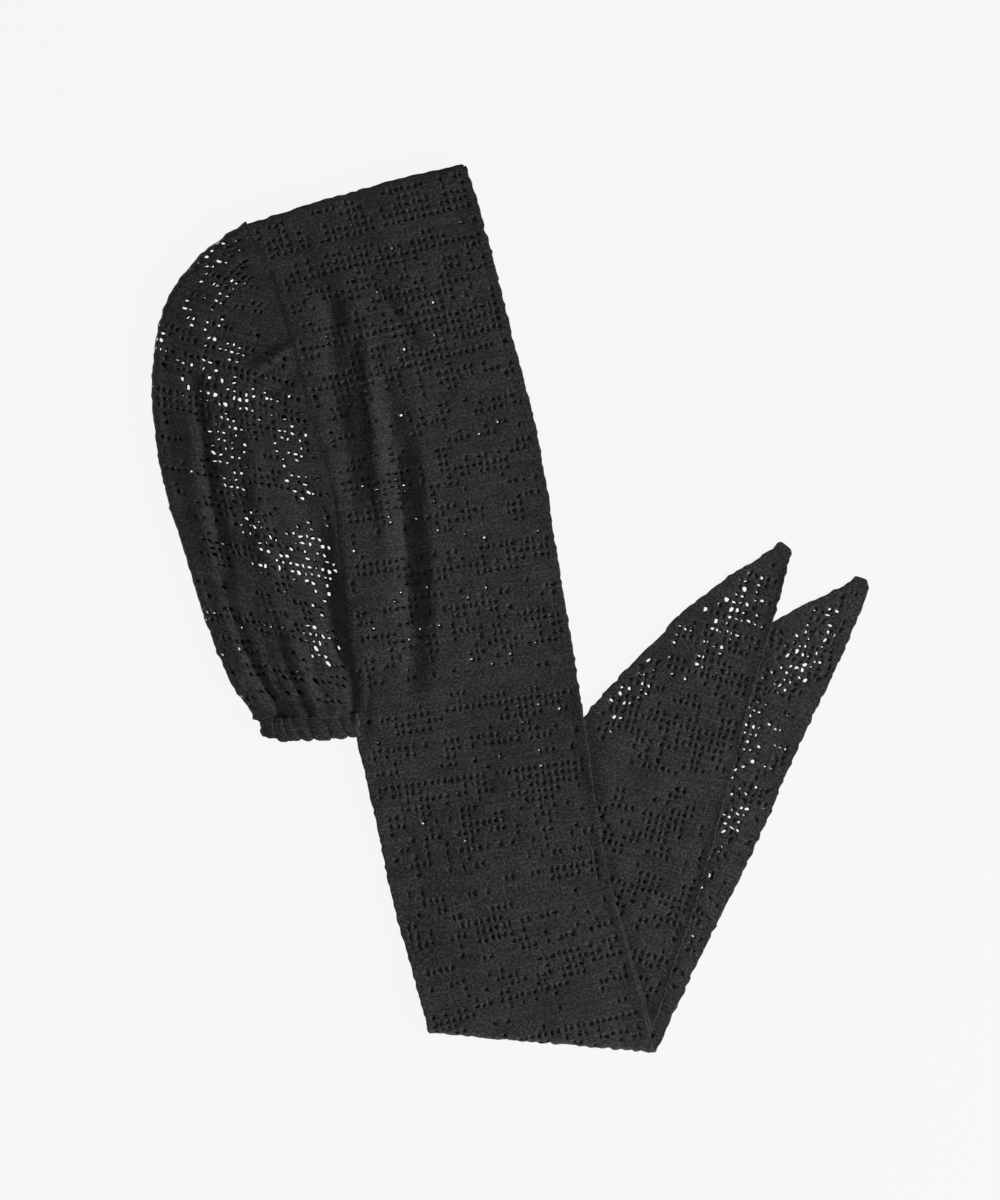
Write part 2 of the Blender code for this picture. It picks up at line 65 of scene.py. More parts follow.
# Room that the cloth takes up, in metres
DOUBLE_CLOTH = 0.0024
SINGLE_CLOTH = 0.0012
LAYER_GAP = 0.0004
SEAM_GAP = 0.00045

# The lie of the cloth, in metres and degrees
TOP_FOLD_RADIUS = 0.0040
TOP_SEAM_ANGLE = 34.0
DRAPE_RUN = 0.050
FAR_EDGE_INSET = 0.0015
HOOD_BULGE = 0.0065
NAPE_SHARE = 0.3675
GATHER_HEIGHT = 0.0022
PLEAT_HEIGHT = 0.0019
FOLD_HEIGHT = 0.0037
FOLD_WIDTH = 0.0050
SEAM_FLAT = 0.0120
CASING_DROP = 0.0030
HEM_SCALLOP = 0.0022
CASING_LIFT = 0.0004
CASING_TUCK = 0.0020
CASING_LAP = 0.0011
CASING_CORNER = 0.0030

# Top seam of a panel, as shares of panel width: its fall from front to back, its arch,
# how far down the cloth follows it, and how far across it runs
TOP_SEAM_FALL = 0.054
TOP_SEAM_ARCH = 0.060
TOP_SEAM_RUN = 0.5
TOP_SEAM_REACH = 1.05

# Where the far panel's inset ends: its start and its run, as shares of panel length
FAR_INSET_END = (0.42, 0.13)

# Share of hood height over which the folds fade in below the top fold, and the height
# above the floor, in metres, over which the cloth's unevenness does
TOP_FADE = 0.10
UNEVEN_RUN = 0.004

# Crown, as shares of its length from the top to the nape: how far its tuck and its
# narrow top reach, how far down it comes to rest on the floor, and where its gathers
# start
CROWN_TUCK_RUN = 0.03
CROWN_TOP_RUN = 0.05
CROWN_FLOOR_RUN = 0.06
GATHER_START = 0.72
# Shares of its run over which its gathers and its lap rise from the seam, the share of
# its length over which the seam's groove starts, and the run of the lap in metres
GATHER_RISE = 0.06
LAP_RISE = 0.05
GROOVE_START = 0.02
LAP_RUN = 0.006

# Mean level of the pleats, and of the scallops that they make in the hem
PLEAT_LEVEL = 0.6
HEM_LEVEL = 0.7
# Bounds of a pleat's height by its width, against the mean pleat
PLEAT_SIZES = (0.5, 1.2)

# Casing, in metres: how far it starts inside the panel, how far it reaches past its
# fold, the height of its pillow, its half thickness, its round rim, and the cloth that
# turns round its left end
CASING_INSIDE = 0.0010
CASING_REACH = 0.0014
CASING_PILLOW = 0.0007
CASING_WALL = 0.00090
CASING_RIM = 0.0011
CASING_TURN = 0.012

# Casing, as shares of its length: its tucked start, the tuck's run, the lean of its
# pleats, the run of that lean, and where its outer corner starts
CASING_START = -0.06
TUCK_RUN = 0.03
PLEAT_LEAN = 0.10
PLEAT_LEAN_RUN = 0.3
CORNER_START = 0.86
# The pleats fade over the first and the last of this many parts of its length
PLEAT_FADE = 12
# Share of its height where the scalloped hem starts, and of the pleats' height on its
# far half
HEM_START = 0.35
FAR_PLEAT_SHARE = 0.4

# Place of the hood's top front corner on the floor plane, in metres
HOOD_CORNER = (-0.02612, 0.25823)

# Front edge of each panel, laid flat:
# (share of panel length, near heading, far heading), degrees from straight down
FRONT_LIE = [
    (0.000, 18.6, 18.6),
    (0.072, 14.1, 14.1),
    (0.156, 14.6, 14.6),
    (0.240, 9.0, 9.0),
    (0.325, 9.4, 9.4),
    (0.409, 8.5, 7.9),
    (0.481, 9.3, 10.0),
    (0.541, 15.9, 17.1),
    (0.601, 13.6, 15.3),
    (0.673, 15.0, 18.0),
    (0.757, 16.9, 13.4),
    (0.841, 13.0, 13.0),
    (0.914, 15.9, 14.5),
    (1.000, 9.5, 13.0),
]

# Width of a panel before its tip:
# (share of panel length, share of panel width)
PANEL_TAPER = [
    (0.000, 1.022),
    (0.012, 1.018),
    (0.026, 0.995),
    (0.067, 0.969),
    (0.107, 0.962),
    (0.150, 0.960),
    (0.213, 0.938),
    (0.250, 0.946),
    (0.295, 0.966),
    (0.344, 0.988),
    (0.382, 1.012),
    (0.412, 0.998),
    (0.448, 0.979),
    (0.489, 0.965),
    (0.530, 0.952),
    (0.580, 0.955),
    (1.000, 0.955),
]

# Pointed tip of a tie, both as shares of panel width:
# (distance from the tip, reach of its back edge there)
TIP_TAPER = [
    (0.000, 0.078),
    (0.030, 0.086),
    (0.072, 0.122),
    (0.137, 0.178),
    (0.210, 0.245),
    (0.32, 0.325),
    (0.40, 0.388),
    (0.55, 0.468),
    (0.69, 0.553),
    (0.85, 0.642),
    (1.00, 0.716),
    (1.17, 0.784),
    (1.40, 0.852),
    (1.65, 0.917),
    (1.95, 0.960),
    (2.60, 1.050),
    (7.00, 1.600),
]

# Blunt end of a tip, as shares of panel width: its length, and the step back of the
# front edge at the very end
TIP_BLUNT = (0.040, 0.052)

# Folds of the ties, a row for each side: (share of panel length at the front edge,
# degrees that the fold line falls towards the front, layers between the two walls)
TIE_FOLDS = {
    "near": (0.6350, 4.97, 3),
    "far": (0.6200, 0.80, 1),
}

# Room for a head inside the hood:
# (share of panel length, lift of the near panel as a share of the full lift)
MOUTH_LIFT = [
    (-0.02, 1.0),
    (0.33, 1.0),
    (0.40, 0.72),
    (0.46, 0.28),
    (0.52, 0.0),
    (1.10, 0.0),
]

# Swelling of the hood down its length:
# (share of hood height, share of hood bulge)
BULGE_DOWN = [
    (-0.05, 0.0),
    (0.03, 0.0),
    (0.16, 0.55),
    (0.36, 1.0),
    (0.62, 1.0),
    (0.82, 0.55),
    (0.94, 0.08),
    (1.02, 0.0),
    (1.30, 0.0),
]

# Swelling of the hood from the front edge (0) over the seam (1) to the back (2):
# (place, share of hood bulge)
BULGE_ACROSS = [
    (-0.05, 0.0),
    (0.20, 0.05),
    (0.55, 0.45),
    (1.00, 1.0),
    (1.45, 1.0),
    (1.80, 0.45),
    (2.00, 0.0),
]

# Crown sections from the top corner to the nape:
# (share of nape length, degrees turned back from straight up, share of crown reach)
CROWN_SECTIONS = [
    (0.000, 22.0, 0.056),
    (0.014, 46.0, 0.105),
    (0.032, 62.5, 0.199),
    (0.065, 69.5, 0.331),
    (0.120, 72.8, 0.497),
    (0.175, 74.4, 0.636),
    (0.245, 74.4, 0.766),
    (0.310, 74.4, 0.857),
    (0.380, 77.0, 0.922),
    (0.462, 79.0, 0.963),
    (0.545, 80.0, 0.993),
    (0.650, 80.0, 0.968),
    (0.742, 78.8, 0.914),
    (0.840, 77.5, 0.859),
    (0.925, 81.0, 0.760),
    (0.975, 87.5, 0.640),
    (1.000, 91.0, 0.560),
]

# Soft folds and dents of the near side of the hood. Places are shares of hood
# depth behind the top corner and of hood height below it, given at the start,
# the middle and the end of a fold:
# (back, down, back, down, back, down, share of fold height, share of fold width)
SOFT_FOLDS = [
    (0.430, 0.262, 0.402, 0.420, 0.350, 0.580, -1.70, 1.25),
    (0.322, 0.290, 0.290, 0.450, 0.258, 0.640, 1.30, 0.90),
    (0.246, 0.390, 0.196, 0.620, 0.170, 0.893, -1.70, 1.20),
    (0.160, 0.400, 0.118, 0.640, 0.095, 0.900, 0.70, 1.20),
    (0.640, 0.180, 0.480, 0.215, 0.405, 0.290, -1.10, 0.90),
    (0.560, 0.130, 0.430, 0.170, 0.340, 0.270, 0.60, 1.20),
    (0.330, 0.190, 0.242, 0.245, 0.150, 0.320, -0.90, 0.90),
    (0.270, 0.140, 0.180, 0.210, 0.080, 0.300, 0.50, 1.20),
    (0.862, 0.370, 0.808, 0.570, 0.770, 0.720, -1.80, 0.90),
    (0.770, 0.720, 0.690, 0.850, 0.540, 0.974, -1.80, 0.75),
    (0.968, 0.359, 0.933, 0.558, 0.840, 0.750, -0.90, 0.64),
    (0.862, 0.434, 0.790, 0.690, 0.640, 0.960, 1.00, 1.20),
    (0.690, 0.420, 0.640, 0.640, 0.600, 0.740, 0.90, 1.10),
    (0.662, 0.356, 0.600, 0.340, 0.532, 0.320, 0.55, 0.80),
    (0.640, 0.400, 0.590, 0.390, 0.530, 0.360, -0.50, 0.80),
    (0.525, 0.582, 0.446, 0.740, 0.414, 0.841, -1.50, 1.70),
    (0.611, 0.755, 0.520, 0.870, 0.460, 0.950, 1.20, 0.84),
    (0.417, 0.829, 0.363, 0.877, 0.350, 0.969, -1.20, 0.72),
]

# Finer creases and ribs of the cloth over those folds, in the same columns
CREASES = [
    (0.215, 0.500, 0.190, 0.634, 0.176, 0.790, -0.60, 0.36),
    (0.188, 0.480, 0.163, 0.634, 0.150, 0.830, -0.65, 0.36),
    (0.160, 0.500, 0.139, 0.668, 0.126, 0.850, -0.60, 0.36),
    (0.133, 0.530, 0.117, 0.685, 0.106, 0.850, -0.40, 0.36),
    (0.169, 0.478, 0.150, 0.651, 0.131, 0.875, -0.70, 1.60),
    (0.469, 0.599, 0.430, 0.720, 0.392, 0.858, -0.90, 1.10),
    (0.571, 0.820, 0.558, 0.863, 0.523, 0.911, -0.60, 0.36),
    (0.600, 0.900, 0.500, 0.945, 0.420, 0.990, -0.60, 0.40),
    (0.660, 0.930, 0.580, 0.955, 0.510, 0.995, -0.60, 0.40),
    (0.300, 0.880, 0.310, 0.940, 0.320, 0.995, -0.50, 0.36),
    (0.523, 0.911, 0.500, 0.936, 0.475, 0.968, -0.45, 0.32),
    (0.418, 0.823, 0.379, 0.892, 0.357, 0.968, -0.60, 0.36),
    (0.956, 0.288, 0.963, 0.375, 0.940, 0.478, -0.40, 0.30),
    (0.934, 0.530, 0.908, 0.616, 0.864, 0.694, -0.40, 0.32),
    (0.787, 0.582, 0.762, 0.659, 0.730, 0.737, -0.45, 0.44),
    (0.673, 0.380, 0.580, 0.342, 0.507, 0.321, -0.35, 0.30),
    (0.666, 0.366, 0.577, 0.326, 0.494, 0.306, 0.35, 0.40),
    (0.523, 0.174, 0.443, 0.212, 0.383, 0.274, -0.45, 0.60),
    (0.309, 0.200, 0.233, 0.247, 0.160, 0.314, -0.45, 0.60),
    (0.360, 0.237, 0.328, 0.268, 0.290, 0.314, 0.45, 0.90),
    (0.430, 0.288, 0.399, 0.444, 0.383, 0.616, 0.40, 1.00),
    (0.297, 0.409, 0.258, 0.547, 0.233, 0.685, 0.40, 0.90),
    (0.080, 0.461, 0.042, 0.651, 0.010, 0.823, 0.25, 1.60),
]

# Notches between the pleats of the near half of the casing, as shares of its
# length from the seam to the outer end
PLEAT_NOTCHES = [0.0, 0.118, 0.29, 0.484, 0.634, 0.774, 0.903, 1.0]
FAR_PLEAT_NOTCHES = [0.0, 0.14, 0.25, 0.42, 0.55, 0.71, 0.86, 1.0]

# The net, in metres: cells of the ground, gaps in them, and the plain rim
CELL = 0.0038
CELL_ALONG = 0.0045
GAP_ACROSS = 0.0024
GAP_ALONG = 0.0019
CLEAR_GAP = 1.45
GAP_SHIFT = 0.00050
SLIT_SHARE = 0.50
SPECK_COUNT = 170
CLEAR_SHARE = 0.48
PLAIN_RIM = 0.0014
PLAIN_TIP = 0.0100
PLY = 0.00048
PLY_REACH = 0.00060
CROWN_PLY = 0.00060
SEAM_ALLOWANCE = 0.0030
CROWN_TUCK = 0.0026
EDGE_STEPS = (0.0, 0.00018, 0.00050, 0.00095)

# Size of a gap against the full one, least and most, across and along, and how far its
# corners reach
GAP_WIDE = (0.42, 0.97)
GAP_TALL = (0.46, 1.04)
GAP_CORNER = 0.80
# Half of the thinnest bar between two gaps, the depth over which a panel's ply fills
# out, and the crown's round rim, in metres
BAR_HALF = 0.00015
PLY_FILL = 0.0025
CROWN_RIM = 0.0005
# A distance from the edge, in metres, at which a ply has its full thickness
WELL_INSIDE = 0.01

# Rows of the net: (chance up to which a row is of this kind, its share of open cells);
# the other rows are mixed, with a share between these two times the gap share
DENSE_ROW = (0.09, 0.92)
PLAIN_ROW = (0.26, 0.06)
MIXED_ROW = (0.30, 1.60)
# Chances that an open cell runs on in a mixed and in a dense row, what a gap above adds
# and takes, how many rows are slit rows, and the share of slits in those and in others
RUN_ON = (0.58, 0.92)
BELOW_GAP = 0.14
BELOW_CLOTH = -0.01
SLIT_ROWS = 0.30
SLITS = (0.85, 0.30)
# How far across a panel its net is charted, as a share of panel width
PANEL_NET_REACH = 1.06
# Seeds of the lone open cells and of the clear places of panels and crown
SPECK_SEED = 40
PANEL_CLEAR_SEED = 40
CROWN_CLEAR_SEED = 41
# Where a clear place and a lone open cell start to ease out, and over what run: in
# half sizes of the place, and in cells
CLEAR_EASE = (0.6, 0.8)
SPECK_EASE = (0.6, 0.9)

# Stitches, in metres: their step, length and thread, the seam's distance inside, how
# far above the nape that seam ends, where the front edge's line starts, and the
# casing's line below its top, its line above the hem and their lift
STITCH_PITCH = 0.0031
STITCH_LENGTH = 0.0026
STITCH_THICKNESS = 0.00034
SEAM_STITCH = 0.0022
SEAM_STITCH_END = 0.002
EDGE_STITCH_START = 0.012
CASING_STITCH = 0.0048
HEM_STITCH = 0.0022
CASING_STITCH_LIFT = 0.00085
# Share of panel length where the front edge's line ends
EDGE_STITCH_END = 0.44

# Small unevenness of the laid cloth, across its edges and in height, in metres
WAVER = 0.00030
UNEVEN = 0.00030

# Groove along the crown's seam, and the faint line inside the front edge, in metres
SEAM_VALLEY = 0.0005
SEAM_VALLEY_WIDTH = 0.0009
EDGE_LINE_PLACE = 0.0058
EDGE_LINE_DEPTH = 0.00025
EDGE_LINE_WIDTH = 0.0010

# Where they fade, in metres: the groove's start and end, and the line's start and
# its run, then its end and that run as shares of panel length
SEAM_START_RUN = 0.006
SEAM_END_RUN = 0.008
EDGE_LINE_REACH = (0.01, 0.02, 0.5, 0.1)

# Hollow of the far tie beside the front edge that lies on it, and the low swell
# after that hollow, in metres
EDGE_HOLLOW = 0.0011
EDGE_SWELL = 0.0006
EDGE_HOLLOW_WIDTH = 0.0030
EDGE_SWELL_PLACE = 0.0075
EDGE_SWELL_WIDTH = 0.0040

# Curl of the free front edges over the cloth below: (height, width), in metres
EDGE_LIFT = {"near": (0.0020, 0.0045), "far": (0.0011, 0.0020)}

# Where the near panel's curl starts and how far it rises, as shares of panel length,
# and where the curls fade at a fold and at a tip, in metres
CURL_START = 0.36
CURL_RISE = 0.05
CURL_END_RUN = 0.008
RETURN_RUN = 0.012
TIP_RUN = 0.020

# Swell of the near tie beside the far tie's edge: its height, how fast it rises, and
# where it starts to fall and how far, in metres, and the edge's lean in degrees
NEAR_SWELL = 0.0007
NEAR_SWELL_RISE = 0.0040
NEAR_SWELL_FALL = (0.006, 0.016)
NEAR_SWELL_END_RUN = 0.030
FAR_TIE_LEAN = 22.0

# How far, in cells, the net of one layer strays from its place
DRIFT_STRAY = 0.20
# How far, in cells, the crown's far half is out of step: across and along
CROWN_DRIFT = (0.5, 0.45)
# Runs over which that fades, in metres: at a panel's sides, its top and its tip, and
# at the crown's back fold, its far edge and its top
PANEL_DRIFT_RUN = (0.004, 0.006, 0.012)
CROWN_DRIFT_RUN = (0.012, 0.008, 0.010)
# Line along which the crown's rows are spaced, as a share of its run from the seam
CROWN_ROWS_AT = 0.55

# How far the lining's net is out of step with the outer cloth's, in cells:
# (share of panel length, across, along)
NEAR_DRIFT = [
    (0.00, 0.30, 0.26),
    (0.20, 0.38, 0.30),
    (0.45, 0.28, 0.34),
    (0.60, 0.40, 0.30),
    (0.72, 0.20, 0.20),
    (0.85, 0.10, 0.12),
    (1.00, 0.12, 0.10),
]
FAR_DRIFT = [
    (0.00, 0.26, 0.32),
    (0.25, 0.34, 0.24),
    (0.50, 0.40, 0.30),
    (0.66, 0.22, 0.24),
    (0.80, 0.10, 0.12),
    (1.00, 0.14, 0.10),
]

# Places where the gaps of both layers meet and show the floor, in metres on the floor
# plane: (x, y, half length, half width, degrees of the long axis from straight down)
CROWN_CLEAR = [
    (-0.1662, 0.1950, 0.022, 0.012, -20),
    (-0.1715, 0.1614, 0.026, 0.010, 48),
    (-0.1773, 0.1335, 0.018, 0.012, 60),
    (-0.1512, 0.1208, 0.020, 0.010, 62),
    (-0.1622, 0.0918, 0.026, 0.011, 12),
    (-0.1222, 0.0860, 0.026, 0.013, 14),
    (-0.1442, 0.0396, 0.022, 0.010, 25),
    (-0.1135, 0.0251, 0.026, 0.016, 10),
    (-0.1077, -0.0184, 0.018, 0.010, 20),
    (-0.2022, 0.1585, 0.014, 0.004, 8),
]
TIE_CLEAR = [
    (0.1301, 0.0019, 0.024, 0.015, -35),
    (0.1185, -0.0300, 0.018, 0.009, -60),
    (0.0704, -0.0474, 0.022, 0.010, -20),
    (0.1707, -0.0242, 0.030, 0.012, -35),
    (0.1377, -0.0764, 0.026, 0.010, -20),
    (0.1226, -0.1344, 0.034, 0.009, -25),
]

LAYER_STEP = DOUBLE_CLOTH + LAYER_GAP
FLOOR_LEVEL = DOUBLE_CLOTH / 2
TOP_AXIS_DROP = TOP_FOLD_RADIUS + DOUBLE_CLOTH / 2
MOUTH_ROOM = 2 * TOP_FOLD_RADIUS - LAYER_STEP
NAPE = NAPE_SHARE * PANEL_LENGTH
LIE_STEPS = 821
LOOP_STEPS = 120

# Sampled heights of the covers and folds: the floor area and the step, in metres
FIELD_LOW = (-0.235, -0.285)
FIELD_HIGH = (0.235, 0.285)
FIELD_STEP = 0.0012

# Camera and studio, in metres
FRAME_CENTRE = (-0.0059, 0.0048)
FRAME_HEIGHT = 0.696
CAMERA_HEIGHT = 2.60
SENSOR = 0.024


def smooth_table(x, keys, values):
    """Cubic curve through a short table."""
    keys = np.asarray(keys, float)
    values = np.asarray(values, float)
    slope = np.gradient(values, keys)
    i = np.clip(np.searchsorted(keys, x) - 1, 0, len(keys) - 2)
    step = keys[i + 1] - keys[i]
    t = np.clip((x - keys[i]) / step, 0, 1)
    start = values[i] * (1 + 2 * t) * (1 - t) ** 2 + slope[i] * step * t * (1 - t) ** 2
    end = values[i + 1] * t * t * (3 - 2 * t) - slope[i + 1] * step * t * t * (1 - t)
    return start + end


def column(table, index):
    """One column of a table of rows."""
    return [row[index] for row in table]


def ease(t):
    """Smooth step from 0 at t = 0 to 1 at t = 1."""
    t = np.clip(t, 0, 1)
    return t * t * (3 - 2 * t)


def front_lie(side):
    """Place and heading of a panel's front edge, laid out flat."""
    share = np.linspace(0, 1, LIE_STEPS)
    heading = np.radians(smooth_table(
        share, column(FRONT_LIE, 0), column(FRONT_LIE, 1 if side == "near" else 2)))
    step = PANEL_LENGTH / (LIE_STEPS - 1)
    middle = (heading[1:] + heading[:-1]) / 2
    x = HOOD_CORNER[0] + np.concatenate([[0], np.cumsum(np.sin(middle))]) * step
    y = HOOD_CORNER[1] - np.concatenate([[0], np.cumsum(np.cos(middle))]) * step
    return share * PANEL_LENGTH, x, y, heading


LIE = {"near": front_lie("near"), "far": front_lie("far")}
LENGTH = {"near": PANEL_LENGTH, "far": PANEL_LENGTH - FAR_TAKE_UP}


def panel_width(side, v):
    """Distance from a panel's front edge to its back edge, at v down it."""
    body_v = np.maximum(v, TOP_AXIS_DROP + CROWN_START)
    body = smooth_table(body_v / PANEL_LENGTH, column(PANEL_TAPER, 0), column(PANEL_TAPER, 1))
    tip = smooth_table(
        (LENGTH[side] - v) / PANEL_WIDTH, column(TIP_TAPER, 0), column(TIP_TAPER, 1))
    return PANEL_WIDTH * np.minimum(body, tip)


def front_inset(side, v):
    """Step back of a panel's front edge: under the upper panel, and at the blunt tip."""
    length, step = TIP_BLUNT
    end = np.clip(1 - (LENGTH[side] - v) / (length * PANEL_WIDTH), 0, 1)
    tip = PANEL_WIDTH * step * (1 - np.sqrt(1 - end ** 2))
    if side == "near":
        return tip
    start, run = FAR_INSET_END
    return tip + FAR_EDGE_INSET * (1 - ease((v / PANEL_LENGTH - start) / run))


def flat_place(side, u, v):
    """Flat place of the cloth, u back from the front edge and v down it."""
    stations, x, y, heading = LIE[side]
    width = panel_width(side, v)
    across = np.clip(u / width, 0, TOP_SEAM_REACH)
    top_shape = -TOP_SEAM_FALL * across - TOP_SEAM_ARCH * across * (1 - across)
    v = v + PANEL_WIDTH * top_shape * (1 - ease(v / (TOP_SEAM_RUN * PANEL_WIDTH)))
    turn = np.interp(v, stations, heading)
    past = np.minimum(v, 0) + np.maximum(v - PANEL_LENGTH, 0)
    px = np.interp(v, stations, x) + past * np.sin(turn) - u * np.cos(turn)
    py = np.interp(v, stations, y) - past * np.cos(turn) - u * np.sin(turn)
    return px, py


def tie_fold(side):
    """Axis of a tie's fold: a point, the direction out of the fold, and its radius."""
    share, fall, layers_inside = TIE_FOLDS[side]
    radius = layers_inside * LAYER_STEP / 2
    stations, x, y, _ = LIE[side]
    corner = share * PANEL_LENGTH
    out = (-math.sin(math.radians(fall)), -math.cos(math.radians(fall)))
    drop = radius + DOUBLE_CLOTH / 2
    point = (np.interp(corner, stations, x) - out[0] * drop,
             np.interp(corner, stations, y) - out[1] * drop)
    return point, out, radius


def past_fold(side, x, y):
    """Distance of a flat place past the start of a tie's fold, below 0 before it."""
    point, out, _ = tie_fold(side)
    return (x - point[0]) * out[0] + (y - point[1]) * out[1]


def fold_under(side, x, y):
    """Folds the flat cloth under: new place, and the part of a half turn made."""
    _, out, radius = tie_fold(side)
    past = past_fold(side, x, y)
    turned = np.clip(past / radius, 0, math.pi)
    shift = np.minimum(past, 0) + radius * np.sin(turned)
    shift = shift - np.maximum(past - math.pi * radius, 0)
    return x + (shift - past) * out[0], y + (shift - past) * out[1], turned


def tie_outline(side):
    """Outline on the floor plane of the part of a tie that is folded back."""
    _, out, radius = tie_fold(side)
    v = np.linspace(LENGTH[side] / 2, LENGTH[side], LOOP_STEPS)
    loop = []
    for u in (front_inset(side, v), panel_width(side, v)):
        x, y = flat_place(side, u, v)
        keep = past_fold(side, x, y) > math.pi * radius
        fx, fy, _ = fold_under(side, x, y)
        loop.append(np.stack([fx[keep], fy[keep]], 1))
    reach = np.array(out) * (radius + DOUBLE_CLOTH / 2)
    root = []
    for edge in loop:
        drop = past_fold(side, edge[0, 0], edge[0, 1])
        root.append(edge[0] - np.array(out) * drop + reach)
    return np.concatenate([[root[0]], loop[0], loop[1][::-1], [root[1]]])


def outside_distance(x, y, loop):
    """Distance outside a closed outline, 0 inside it."""
    shape = np.shape(x)
    px = np.ravel(x)[:, None]
    py = np.ravel(y)[:, None]
    a = loop
    b = np.roll(loop, -1, axis=0)
    edge = b - a
    length = np.maximum((edge ** 2).sum(1), 1e-18)
    t = np.clip(((px - a[:, 0]) * edge[:, 0] + (py - a[:, 1]) * edge[:, 1]) / length, 0, 1)
    gap = np.hypot(px - a[:, 0] - t * edge[:, 0], py - a[:, 1] - t * edge[:, 1]).min(1)
    rise = np.where(edge[:, 1] == 0, 1e-12, edge[:, 1])
    crossing = a[:, 0] + (py - a[:, 1]) * edge[:, 0] / rise
    hits = ((a[:, 1] > py) != (b[:, 1] > py)) & (px < crossing)
    inside = hits.sum(1) % 2 == 1
    return np.where(inside, 0, gap).reshape(shape)


def cover(x, y, loop):
    """1 on top of a tie, easing to 0 where the cloth above reaches the floor."""
    return 1 - ease(outside_distance(x, y, loop) / DRAPE_RUN)


def fold_path(row):
    """Points along a soft fold, a curve through its start, middle and end."""
    t = np.linspace(0, 1, 9)
    start, middle, end = [
        (HOOD_CORNER[0] - row[i] * HOOD_DEPTH, HOOD_CORNER[1] - row[i + 1] * HOOD_HEIGHT)
        for i in (0, 2, 4)]
    bend = [2 * middle[k] - (start[k] + end[k]) / 2 for k in (0, 1)]
    path = [start[k] * (1 - t) ** 2 + 2 * bend[k] * t * (1 - t) + end[k] * t * t
            for k in (0, 1)]
    return t, path[0], path[1]


def soft_folds(x, y):
    """Height of the soft folds, dents and creases."""
    height = np.zeros(np.shape(x))
    for row in SOFT_FOLDS + CREASES:
        t, path_x, path_y = fold_path(row)
        best = np.full(np.shape(x), HOOD_HEIGHT)
        place = np.zeros(np.shape(x))
        for i in range(len(t) - 1):
            dx = path_x[i + 1] - path_x[i]
            dy = path_y[i + 1] - path_y[i]
            part = ((x - path_x[i]) * dx + (y - path_y[i]) * dy) / (dx * dx + dy * dy)
            part = np.clip(part, 0, 1)
            away = np.hypot(x - path_x[i] - part * dx, y - path_y[i] - part * dy)
            place = np.where(away < best, t[i] + part * (t[i + 1] - t[i]), place)
            best = np.minimum(best, away)
        fade = np.sqrt(np.clip(np.sin(np.pi * (0.06 + 0.88 * place)), 0, 1))
        shape = np.exp(-(best / (row[7] * FOLD_WIDTH)) ** 2)
        height = height + row[6] * FOLD_HEIGHT * fade * shape
    return height


def height_field(measure):
    """Samples a height over the floor area once, and reads it smoothly anywhere."""
    xs = np.arange(FIELD_LOW[0], FIELD_HIGH[0], FIELD_STEP)
    ys = np.arange(FIELD_LOW[1], FIELD_HIGH[1], FIELD_STEP)
    table = np.stack([measure(xs, np.full(len(xs), y)) for y in ys])

    def read(x, y):
        weights = []
        first = []
        for value, low, count in ((x, xs[0], len(xs)), (y, ys[0], len(ys))):
            place = (np.asarray(value, float) - low) / FIELD_STEP
            i = np.clip(np.floor(place).astype(int), 1, count - 3)
            t = np.clip(place - i, 0, 1)
            first.append(i - 1)
            weights.append((
                ((2 - t) * t - 1) * t / 2,
                ((3 * t - 5) * t * t + 2) / 2,
                ((4 - 3 * t) * t + 1) * t / 2,
                (t - 1) * t * t / 2))
        total = 0
        for b in range(4):
            for a in range(4):
                total = total + weights[0][a] * weights[1][b] * table[first[1] + b, first[0] + a]
        return total

    return read


NEAR_COVER = height_field(lambda x, y: cover(x, y, tie_outline("near")))
FAR_COVER = height_field(lambda x, y: cover(x, y, tie_outline("far")))
HOOD_FOLDS = height_field(soft_folds)


def bulge(across, down):
    """Swelling of the hood."""
    return HOOD_BULGE * (
        np.clip(smooth_table(across, column(BULGE_ACROSS, 0), column(BULGE_ACROSS, 1)), 0, 1)
        * np.clip(smooth_table(down, column(BULGE_DOWN, 0), column(BULGE_DOWN, 1)), 0, 1))


def far_height(x, y):
    """Middle of the lower panel: on the floor, and over the ties folded under it."""
    return FLOOR_LEVEL + LAYER_STEP * (NEAR_COVER(x, y) + FAR_COVER(x, y))


def near_height(x, y, across, v):
    """Middle of the upper panel: over the lower one and the room for a head."""
    lift = np.clip(smooth_table(
        v / PANEL_LENGTH, column(MOUTH_LIFT, 0), column(MOUTH_LIFT, 1)), 0, 1)
    top_fade = ease((v - TOP_AXIS_DROP) / (TOP_FADE * HOOD_HEIGHT))
    swell = bulge(across, v / HOOD_HEIGHT) + HOOD_FOLDS(x, y) * top_fade
    return far_height(x, y) + LAYER_STEP + MOUTH_ROOM * lift + swell


def over_top_fold(side, u, v):
    """The flat place and height of a panel, and its turn over the hood's top."""
    flat_v = np.maximum(v, TOP_AXIS_DROP)
    x, y = flat_place(side, u, flat_v)
    turned = np.maximum(TOP_AXIS_DROP - v, 0) / TOP_FOLD_RADIUS
    above_x, above_y = flat_place(side, u, flat_v - TOP_FOLD_RADIUS / 4)
    up = np.hypot(above_x - x, above_y - y)
    shift = TOP_FOLD_RADIUS * np.sin(turned)
    x = x + shift * (above_x - x) / up
    y = y + shift * (above_y - y) / up
    return x, y, TOP_FOLD_RADIUS * (1 - np.cos(turned))


def make_waves(seed, count, shortest, longest):
    """Random waves whose sum is a smooth unevenness of about unit size."""
    draw = np.random.default_rng(seed)
    length = np.exp(draw.uniform(math.log(shortest), math.log(longest), count))
    heading = draw.uniform(0, 2 * math.pi, count)
    size = 2 * math.pi / length
    return size * np.cos(heading), size * np.sin(heading), draw.uniform(0, 2 * math.pi, count)


